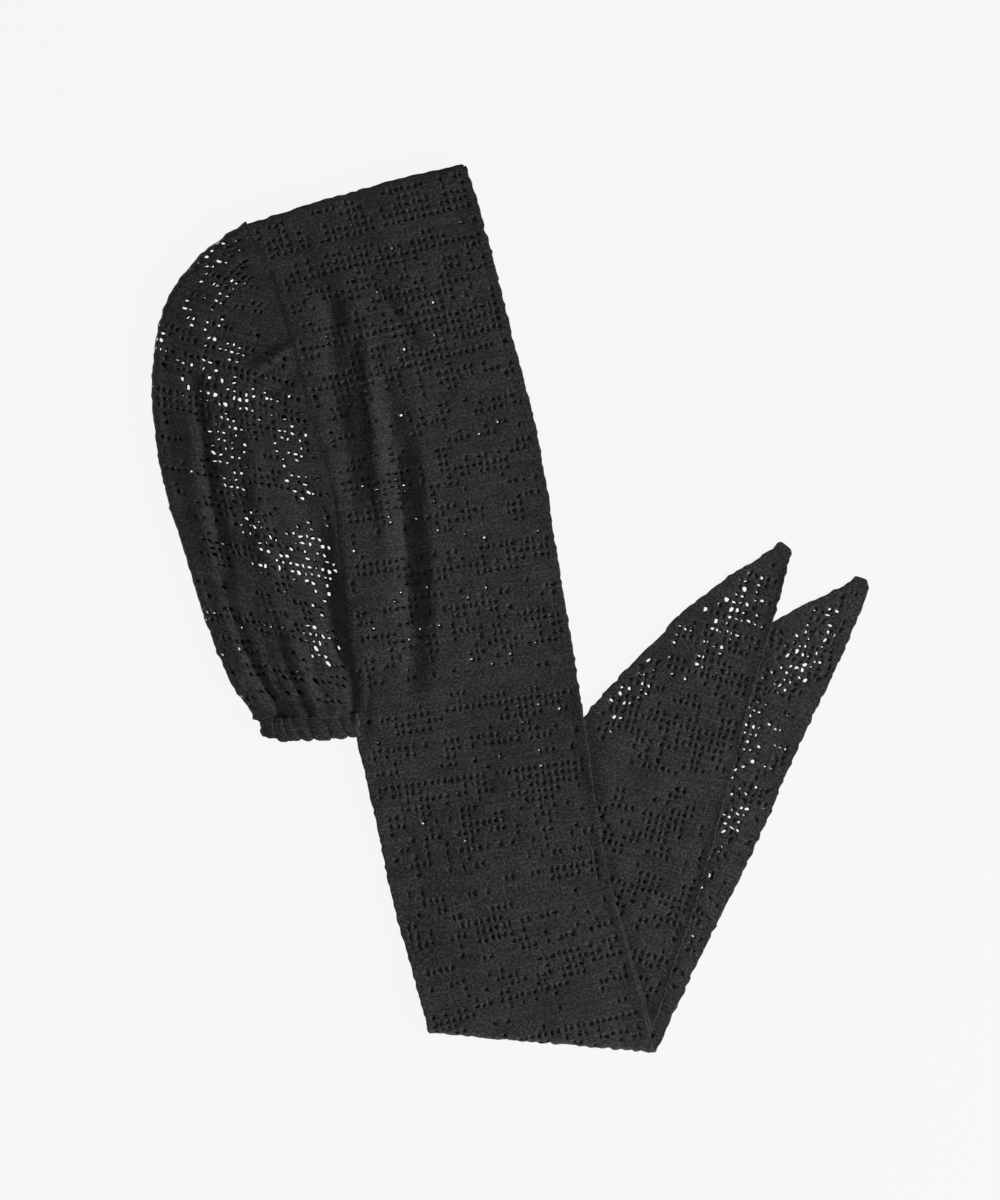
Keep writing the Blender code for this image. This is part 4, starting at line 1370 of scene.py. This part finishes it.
def net_yarn(name, settings):
    """Matte black knitted yarn, soft and dry, with a fine grain and faint courses."""
    material = bpy.data.materials.new(name)
    material.use_nodes = True
    tree = material.node_tree
    tree.nodes.clear()
    place = add_node(tree, "ShaderNodeUVMap", {"uv_map": "Cloth"}).outputs["UV"]

    def grain(scale, detail):
        stretch = add_node(tree, "ShaderNodeMapping", None, {"Scale": scale}, {"Vector": place})
        noise = add_node(tree, "ShaderNodeTexNoise", {"noise_dimensions": "2D"},
                         {"Scale": 1.0, "Detail": detail, "Roughness": 0.6},
                         {"Vector": stretch.outputs["Vector"]})
        return noise.outputs["Fac"]

    def between(value, low, high, at_low, at_high):
        step = add_node(tree, "ShaderNodeMapRange", {"interpolation_type": "SMOOTHSTEP"},
                        {"From Min": low, "From Max": high, "To Min": at_low, "To Max": at_high},
                        {"Value": value})
        return step.outputs["Result"]

    def math_node(operation, first, second):
        node = add_node(tree, "ShaderNodeMath", {"operation": operation})
        tree.links.new(first, node.inputs[0])
        tree.links.new(second, node.inputs[1])
        return node.outputs["Value"]

    # The grain of the yarn, about a millimetre: partly its own mottle, and partly painted light on
    # its tops and painted shade in its pores, which the bump also raises and sinks
    fine = grain((700, 820, 1), detail=3.0)
    tone = add_node(tree, "ShaderNodeValToRGB", None, None, {"Fac": fine})
    tone.color_ramp.elements[0].position = 0.35
    tone.color_ramp.elements[0].color = linear(settings.colour)
    tone.color_ramp.elements[1].position = 0.66
    tone.color_ramp.elements[1].color = linear(settings.lit_top_colour)
    # Short dark dashes where the courses of the knit part: painted shade in those partings, which
    # also lower the loops' relief there
    shaded_partings = between(grain((430, 1250, 1), detail=1.0),
                     low=0.33, high=0.47, at_low=0.66, at_high=1.0)
    # Long faint rows across the cloth, and soft patches of thinner and denser knit
    rows = between(grain((30, 480, 1), detail=2.0),
                   low=0.30, high=0.70, at_low=0.80, at_high=1.20)
    patches = between(grain((70, 60, 1), detail=2.0),
                      low=0.30, high=0.70, at_low=0.88, at_high=1.14)
    # Painted shade of the partings, times the rows and patches of the knit's own tone
    shade = math_node("MULTIPLY", math_node("MULTIPLY", shaded_partings, rows), patches)
    cloth = add_node(tree, "ShaderNodeVectorMath", {"operation": "SCALE"}, None,
                     {0: tone.outputs["Color"], "Scale": shade})
    # Courses of the knit, close rows that give the bars their cord-like relief
    courses = add_node(tree, "ShaderNodeTexWave", {"wave_type": "BANDS", "bands_direction": "Y"},
                       {"Scale": 330.0, "Distortion": 2.5, "Detail": 1.0, "Detail Scale": 0.5},
                       {"Vector": place})
    # Wales of the knit across them, which part the courses into single loops
    wales = add_node(tree, "ShaderNodeTexWave", {"wave_type": "BANDS", "bands_direction": "X"},
                     {"Scale": 420.0, "Distortion": 2.0, "Detail": 1.0, "Detail Scale": 0.5},
                     {"Vector": place})
    loops = math_node("MULTIPLY", courses.outputs["Fac"], wales.outputs["Fac"])
    relief = math_node("ADD", math_node("MULTIPLY", loops, shaded_partings), fine)
    bump = add_node(tree, "ShaderNodeBump", None, {"Strength": 0.8, "Distance": 0.00036},
                    {"Height": relief})
    # The tops of the yarn are a little smoother than its pores
    rough = between(fine, low=0.30, high=0.70, at_low=0.95, at_high=0.78)
    shader = add_node(tree, "ShaderNodeBsdfPrincipled", None,
                      {"Sheen Weight": 0.12, "Sheen Roughness": 0.6, "Specular IOR Level": 0.2},
                      {"Base Color": cloth.outputs["Vector"], "Normal": bump.outputs["Normal"],
                       "Roughness": rough})
    add_node(tree, "ShaderNodeOutputMaterial", None, None, {"Surface": shader.outputs["BSDF"]})
    return material


def black_thread(name, colour):
    """Black sewing thread: twisted strands that catch a little more light than the net."""
    material = bpy.data.materials.new(name)
    material.use_nodes = True
    tree = material.node_tree
    shader = tree.nodes["Principled BSDF"]
    place = add_node(tree, "ShaderNodeTexCoord")
    bands = {"wave_type": "BANDS", "bands_direction": "DIAGONAL"}
    twist = add_node(tree, "ShaderNodeTexWave", bands,
                     {"Scale": 900.0, "Distortion": 1.0, "Detail": 1.0},
                     {"Vector": place.outputs["Object"]})
    # Darker at the low side of the twist: painted shade in the grooves between the strands
    tone = add_node(tree, "ShaderNodeValToRGB", None, None, {"Fac": twist.outputs["Fac"]})
    tone.color_ramp.elements[0].color = linear("#101011")
    tone.color_ramp.elements[1].color = linear(colour)
    bump = add_node(tree, "ShaderNodeBump", None, {"Strength": 0.5, "Distance": 0.00005},
                    {"Height": twist.outputs["Fac"]})
    tree.links.new(tone.outputs["Color"], shader.inputs["Base Color"])
    tree.links.new(bump.outputs["Normal"], shader.inputs["Normal"])
    shader.inputs["Roughness"].default_value = 0.55
    return material


def stitch_group():
    """Geometry Nodes that lay stitches along the paths of a mesh's edges."""
    group = bpy.data.node_groups.new("lay_stitches", "GeometryNodeTree")
    face = group.interface
    face.new_socket(name="Geometry", in_out="INPUT", socket_type="NodeSocketGeometry")
    for name in ("Pitch", "Length", "Thickness"):
        face.new_socket(name=name, in_out="INPUT", socket_type="NodeSocketFloat")
    face.new_socket(name="Seed", in_out="INPUT", socket_type="NodeSocketInt")
    face.new_socket(name="Thread", in_out="INPUT", socket_type="NodeSocketMaterial")
    face.new_socket(name="Geometry", in_out="OUTPUT", socket_type="NodeSocketGeometry")
    given = add_node(group, "NodeGroupInput").outputs
    line = add_node(group, "GeometryNodeMeshToCurve", None, None, {"Mesh": given["Geometry"]})
    points = add_node(group, "GeometryNodeResampleCurve", {"mode": "LENGTH"}, None,
                      {"Curve": line.outputs["Curve"], "Length": given["Pitch"]})
    stitch = add_node(group, "GeometryNodeMeshUVSphere", None,
                      {"Segments": 8, "Rings": 6, "Radius": 0.5})
    tangent = add_node(group, "GeometryNodeInputTangent")
    turn = add_node(group, "FunctionNodeAlignRotationToVector", {"axis": "Z"}, None,
                    {"Vector": tangent.outputs["Tangent"]})
    size = add_node(group, "ShaderNodeCombineXYZ", None, None,
                    {"X": given["Thickness"], "Y": given["Thickness"], "Z": given["Length"]})
    vary = add_node(group, "FunctionNodeRandomValue", {"data_type": "FLOAT"}, None,
                    {"Seed": given["Seed"]})
    vary.inputs[2].default_value = 0.85
    vary.inputs[3].default_value = 1.05
    scale = add_node(group, "ShaderNodeVectorMath", {"operation": "SCALE"}, None,
                     {0: size.outputs["Vector"], "Scale": vary.outputs[1]})
    laid = add_node(group, "GeometryNodeInstanceOnPoints", None, None,
                    {"Points": points.outputs["Curve"], "Instance": stitch.outputs["Mesh"],
                     "Rotation": turn.outputs["Rotation"], "Scale": scale.outputs["Vector"]})
    real = add_node(group, "GeometryNodeRealizeInstances", None, None,
                    {"Geometry": laid.outputs["Instances"]})
    smooth = add_node(group, "GeometryNodeSetShadeSmooth", None, None,
                      {"Geometry": real.outputs["Geometry"]})
    dressed = add_node(group, "GeometryNodeSetMaterial", None, None,
                       {"Geometry": smooth.outputs["Geometry"], "Material": given["Thread"]})
    add_node(group, "NodeGroupOutput", None, None, {"Geometry": dressed.outputs["Geometry"]})
    return group


def lay_stitches(name, paths, thread):
    """A mesh of stitches along paths of points."""
    points = np.concatenate(paths)
    edges = []
    start = 0
    for path in paths:
        edges += [(start + i, start + i + 1) for i in range(len(path) - 1)]
        start += len(path)
    guide = bpy.data.meshes.new(name + "_guide")
    guide.from_pydata(points.tolist(), edges, [])
    piece = bpy.data.objects.new(name + "_guide", guide)
    bpy.context.scene.collection.objects.link(piece)
    group = stitch_group()
    laid = piece.modifiers.new("stitches", "NODES")
    laid.node_group = group
    values = {"Pitch": STITCH_PITCH, "Length": STITCH_LENGTH, "Thickness": STITCH_THICKNESS,
              "Seed": 3, "Thread": thread}
    for item in group.interface.items_tree:
        if item.in_out == "INPUT" and item.name in values:
            laid[item.identifier] = values[item.name]
    evaluated = piece.evaluated_get(bpy.context.evaluated_depsgraph_get())
    mesh = bpy.data.meshes.new_from_object(evaluated)
    mesh.name = name
    bpy.data.objects.remove(piece)
    bpy.data.node_groups.remove(group)
    stitches = bpy.data.objects.new(name, mesh)
    bpy.context.scene.collection.objects.link(stitches)
    return stitches


def stitch_paths():
    """Lines of stitching: both crown seams, the front edge and the casing."""
    lift = PLY_REACH + STITCH_THICKNESS / 4
    paths = []
    # The crown's seams to both panels
    v = np.linspace(TOP_AXIS_DROP + CROWN_START, NAPE - SEAM_STITCH_END, 240)
    for side, up in (("near", 1), ("far", -1)):
        u = panel_width(side, v) - SEAM_STITCH
        at = panel_place(side, u, v)
        normal = surface_normals(lambda a, b: panel_place(side, a, b), u, v)
        paths.append(at + normal * np.sign(normal[:, 2:]) * up * lift)
    # The line inside the front edge
    v = np.linspace(EDGE_STITCH_START, EDGE_STITCH_END * PANEL_LENGTH, 260)
    at = panel_place("near", EDGE_LINE_PLACE + 0 * v, v)
    paths.append(at + np.array([0, 0, lift]))
    # Both lines of the casing, along its near half
    share = np.linspace(0.02, 0.97, 160)
    for d in (CASING_STITCH, CASING_HEIGHT - HEM_STITCH):
        at = casing_place(share, d + 0 * share)
        paths.append(at + np.array([0, 0, CASING_STITCH_LIFT]))
    return paths


def show(name, mesh, material):
    """Puts a finished mesh in the scene under its own name."""
    piece = bpy.data.objects.new(name, mesh)
    bpy.context.scene.collection.objects.link(piece)
    piece.data.materials.append(material)
    return piece


# Lights of the studio: (name, place, aim, width, all in metres, and power in watts)
STUDIO_LIGHTS = [
    ("key_softbox", (1.35, -0.65, 0.85), (0, 0, 0), 0.45, 17.5),
    ("top_softbox", (0.6, -0.7, 2.2), (0.1, -0.1, 0), 1.5, 10.5),
    ("fill_softbox", (-1.8, 1.6, 1.8), (0, 0, 0), 1.6, 0.8),
]
# Strength of the even light from all round, the floor's own dark base and its glow,
# and half its width in metres
WORLD_STRENGTH = 0.075
FLOOR_BASE = (0.05, 0.05, 0.05, 1)
FLOOR_GLOW = 0.965
FLOOR_REACH = 3.0


class ClothSettings(bpy.types.PropertyGroup):
    gap_share: bpy.props.FloatProperty(
        name="Gap share", description="How much of the cloth's patterned rows is open net",
        default=0.37, min=0.0, max=1.0, subtype="FACTOR")
    colour: bpy.props.StringProperty(
        name="Yarn colour", description="Hex colour of the yarn", default="#232323")
    # Lighter end of the yarn's grain: painted light on the yarn's tops, partly its own mottle
    lit_top_colour: bpy.props.StringProperty(
        name="Light yarn colour", description="Hex colour of the yarn's lighter mottle",
        default="#504f51")
    thread_colour: bpy.props.StringProperty(
        name="Thread colour", description="Hex colour of the sewing thread", default="#2b2b2c")
    seed: bpy.props.IntProperty(
        name="Net seed", description="Seed of the net's chart", default=7, min=0)


class StudioSettings(bpy.types.PropertyGroup):
    floor_colour: bpy.props.StringProperty(
        name="Floor colour", description="Hex colour of the pale floor", default="#f7f7f7")
    camera_height: bpy.props.FloatProperty(
        name="Camera height", description="Height of the camera above the floor",
        default=CAMERA_HEIGHT, min=0.5, subtype="DISTANCE", unit="LENGTH")


class HEADSCARF_OT_left_panel(bpy.types.Operator):
    """Builds the near panel and its tie, as an outer cloth and a lining"""
    bl_idname = "headscarf.left_panel"
    bl_label = "Left panel"

    def execute(self, context):
        settings = context.scene.headscarf_cloth
        cloth = net_yarn("black_net_yarn_panel", settings)
        outer = show("left_outer_cloth", panel_ply(
            "left_outer_cloth", "near", 1, settings.seed, settings.gap_share, None), cloth)
        lining = show("left_lining", panel_ply(
            "left_lining", "near", -1, settings.seed + 1, settings.gap_share, NEAR_DRIFT), cloth)
        for piece in (outer, lining):
            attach(piece, "root")
            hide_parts("left_panel")
        return {"FINISHED"}


class HEADSCARF_OT_right_panel(bpy.types.Operator):
    """Builds the far panel and its tie, as an outer cloth and a lining"""
    bl_idname = "headscarf.right_panel"
    bl_label = "Right panel"

    def execute(self, context):
        settings = context.scene.headscarf_cloth
        cloth = bpy.data.materials["black_net_yarn_panel"]
        lining = show("right_lining", panel_ply(
            "right_lining", "far", 1, settings.seed + 2, settings.gap_share, FAR_DRIFT), cloth)
        outer = show("right_outer_cloth", panel_ply(
            "right_outer_cloth", "far", -1, settings.seed + 3, settings.gap_share, None), cloth)
        for piece in (outer, lining):
            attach(piece, "root")
            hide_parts("right_panel")
        return {"FINISHED"}


class HEADSCARF_OT_crown(bpy.types.Operator):
    """Builds the crown, gathered at the nape"""
    bl_idname = "headscarf.crown"
    bl_label = "Crown"

    def execute(self, context):
        settings = context.scene.headscarf_cloth
        cloth = net_yarn("black_net_yarn_crown", settings)
        piece = show("crown_cloth", crown_cloth(
            "crown_cloth", settings.seed + 4, settings.gap_share), cloth)
        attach(piece, "root")
        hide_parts("crown_panel")
        thread = black_thread("black_sewing_thread", settings.thread_colour)
        stitches = lay_stitches("seam_stitches", stitch_paths(), thread)
        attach(stitches, "root")
        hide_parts("crown_panel")
        return {"FINISHED"}


class HEADSCARF_OT_casing(bpy.types.Operator):
    """Builds the pleated casing at the nape"""
    bl_idname = "headscarf.casing"
    bl_label = "Casing"

    def execute(self, context):
        settings = context.scene.headscarf_cloth
        cloth = net_yarn("black_net_yarn_casing", settings)
        piece = show("nape_casing_cloth", casing_cloth("nape_casing_cloth"), cloth)
        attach(piece, "root")
        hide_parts("nape_casing")
        return {"FINISHED"}


class HEADSCARF_OT_studio(bpy.types.Operator):
    """Sets the pale floor, soft lights and the camera straight above"""
    bl_idname = "headscarf.studio"
    bl_label = "Studio"

    def execute(self, context):
        settings = context.scene.headscarf_studio
        scene = context.scene
        paper = bpy.data.materials.new("pale_backdrop_paper")
        paper.use_nodes = True
        shader = paper.node_tree.nodes["Principled BSDF"]
        shader.inputs["Base Color"].default_value = FLOOR_BASE
        shader.inputs["Roughness"].default_value = 0.9
        shader.inputs["Specular IOR Level"].default_value = 0.0
        shader.inputs["Emission Color"].default_value = linear(settings.floor_colour)
        shader.inputs["Emission Strength"].default_value = FLOOR_GLOW
        mesh = bpy.data.meshes.new("floor")
        reach = FLOOR_REACH
        mesh.from_pydata([(-reach, -reach, 0), (reach, -reach, 0), (reach, reach, 0),
                          (-reach, reach, 0)], [], [(0, 1, 2, 3)])
        floor = show("floor", mesh, paper)

        world = bpy.data.worlds.new("soft_studio")
        world.use_nodes = True
        world.node_tree.nodes["Background"].inputs["Color"].default_value = (1, 1, 1, 1)
        world.node_tree.nodes["Background"].inputs["Strength"].default_value = WORLD_STRENGTH
        scene.world = world
        for name, place, aim, size, power in STUDIO_LIGHTS:
            light = bpy.data.lights.new(name, "AREA")
            light.shape = "DISK"
            light.size = size
            light.energy = power
            lamp = bpy.data.objects.new(name, light)
            lamp.location = place
            direction = np.array(aim) - np.array(place)
            flat = math.hypot(direction[0], direction[1])
            lamp.rotation_euler = (math.atan2(flat, -direction[2]), 0,
                                   math.atan2(direction[1], direction[0]) - math.pi / 2)
            scene.collection.objects.link(lamp)

        data = bpy.data.cameras.new("camera")
        data.sensor_fit = "VERTICAL"
        data.sensor_height = SENSOR * 1000
        data.lens = SENSOR * 1000 * settings.camera_height / FRAME_HEIGHT
        data.clip_start = 0.05
        camera = bpy.data.objects.new("camera", data)
        camera.location = (FRAME_CENTRE[0], FRAME_CENTRE[1], settings.camera_height)
        scene.collection.objects.link(camera)
        scene.camera = camera
        scene.view_settings.view_transform = "Standard"
        scene.view_settings.look = "None"
        return {"FINISHED"}


class HEADSCARF_PT_sidebar(bpy.types.Panel):
    """Lists the headscarf's pieces and settings"""
    bl_idname = "HEADSCARF_PT_sidebar"
    bl_label = "Headscarf"
    bl_space_type = "VIEW_3D"
    bl_region_type = "UI"
    bl_category = "Headscarf"

    def draw(self, context):
        layout = self.layout
        for group in (context.scene.headscarf_cloth, context.scene.headscarf_studio):
            box = layout.box()
            for name in group.__annotations__:
                box.prop(group, name)
        for operator in OPERATORS:
            layout.operator(operator.bl_idname)


SETTINGS = {"headscarf_cloth": ClothSettings, "headscarf_studio": StudioSettings}
OPERATORS = [
    HEADSCARF_OT_left_panel,
    HEADSCARF_OT_right_panel,
    HEADSCARF_OT_crown,
    HEADSCARF_OT_casing,
    HEADSCARF_OT_studio,
]
CLASSES = list(SETTINGS.values()) + OPERATORS + [HEADSCARF_PT_sidebar]


def register():
    for item in CLASSES:
        bpy.utils.register_class(item)
    for name, group in SETTINGS.items():
        setattr(bpy.types.Scene, name, bpy.props.PointerProperty(type=group))


def unregister():
    for name in SETTINGS:
        delattr(bpy.types.Scene, name)
    for item in reversed(CLASSES):
        bpy.utils.unregister_class(item)


def main():
    register()
    bpy.ops.headscarf.left_panel()
    bpy.ops.headscarf.right_panel()
    bpy.ops.headscarf.crown()
    bpy.ops.headscarf.casing()
    bpy.ops.headscarf.studio()


if __name__ == "__main__":
    main()
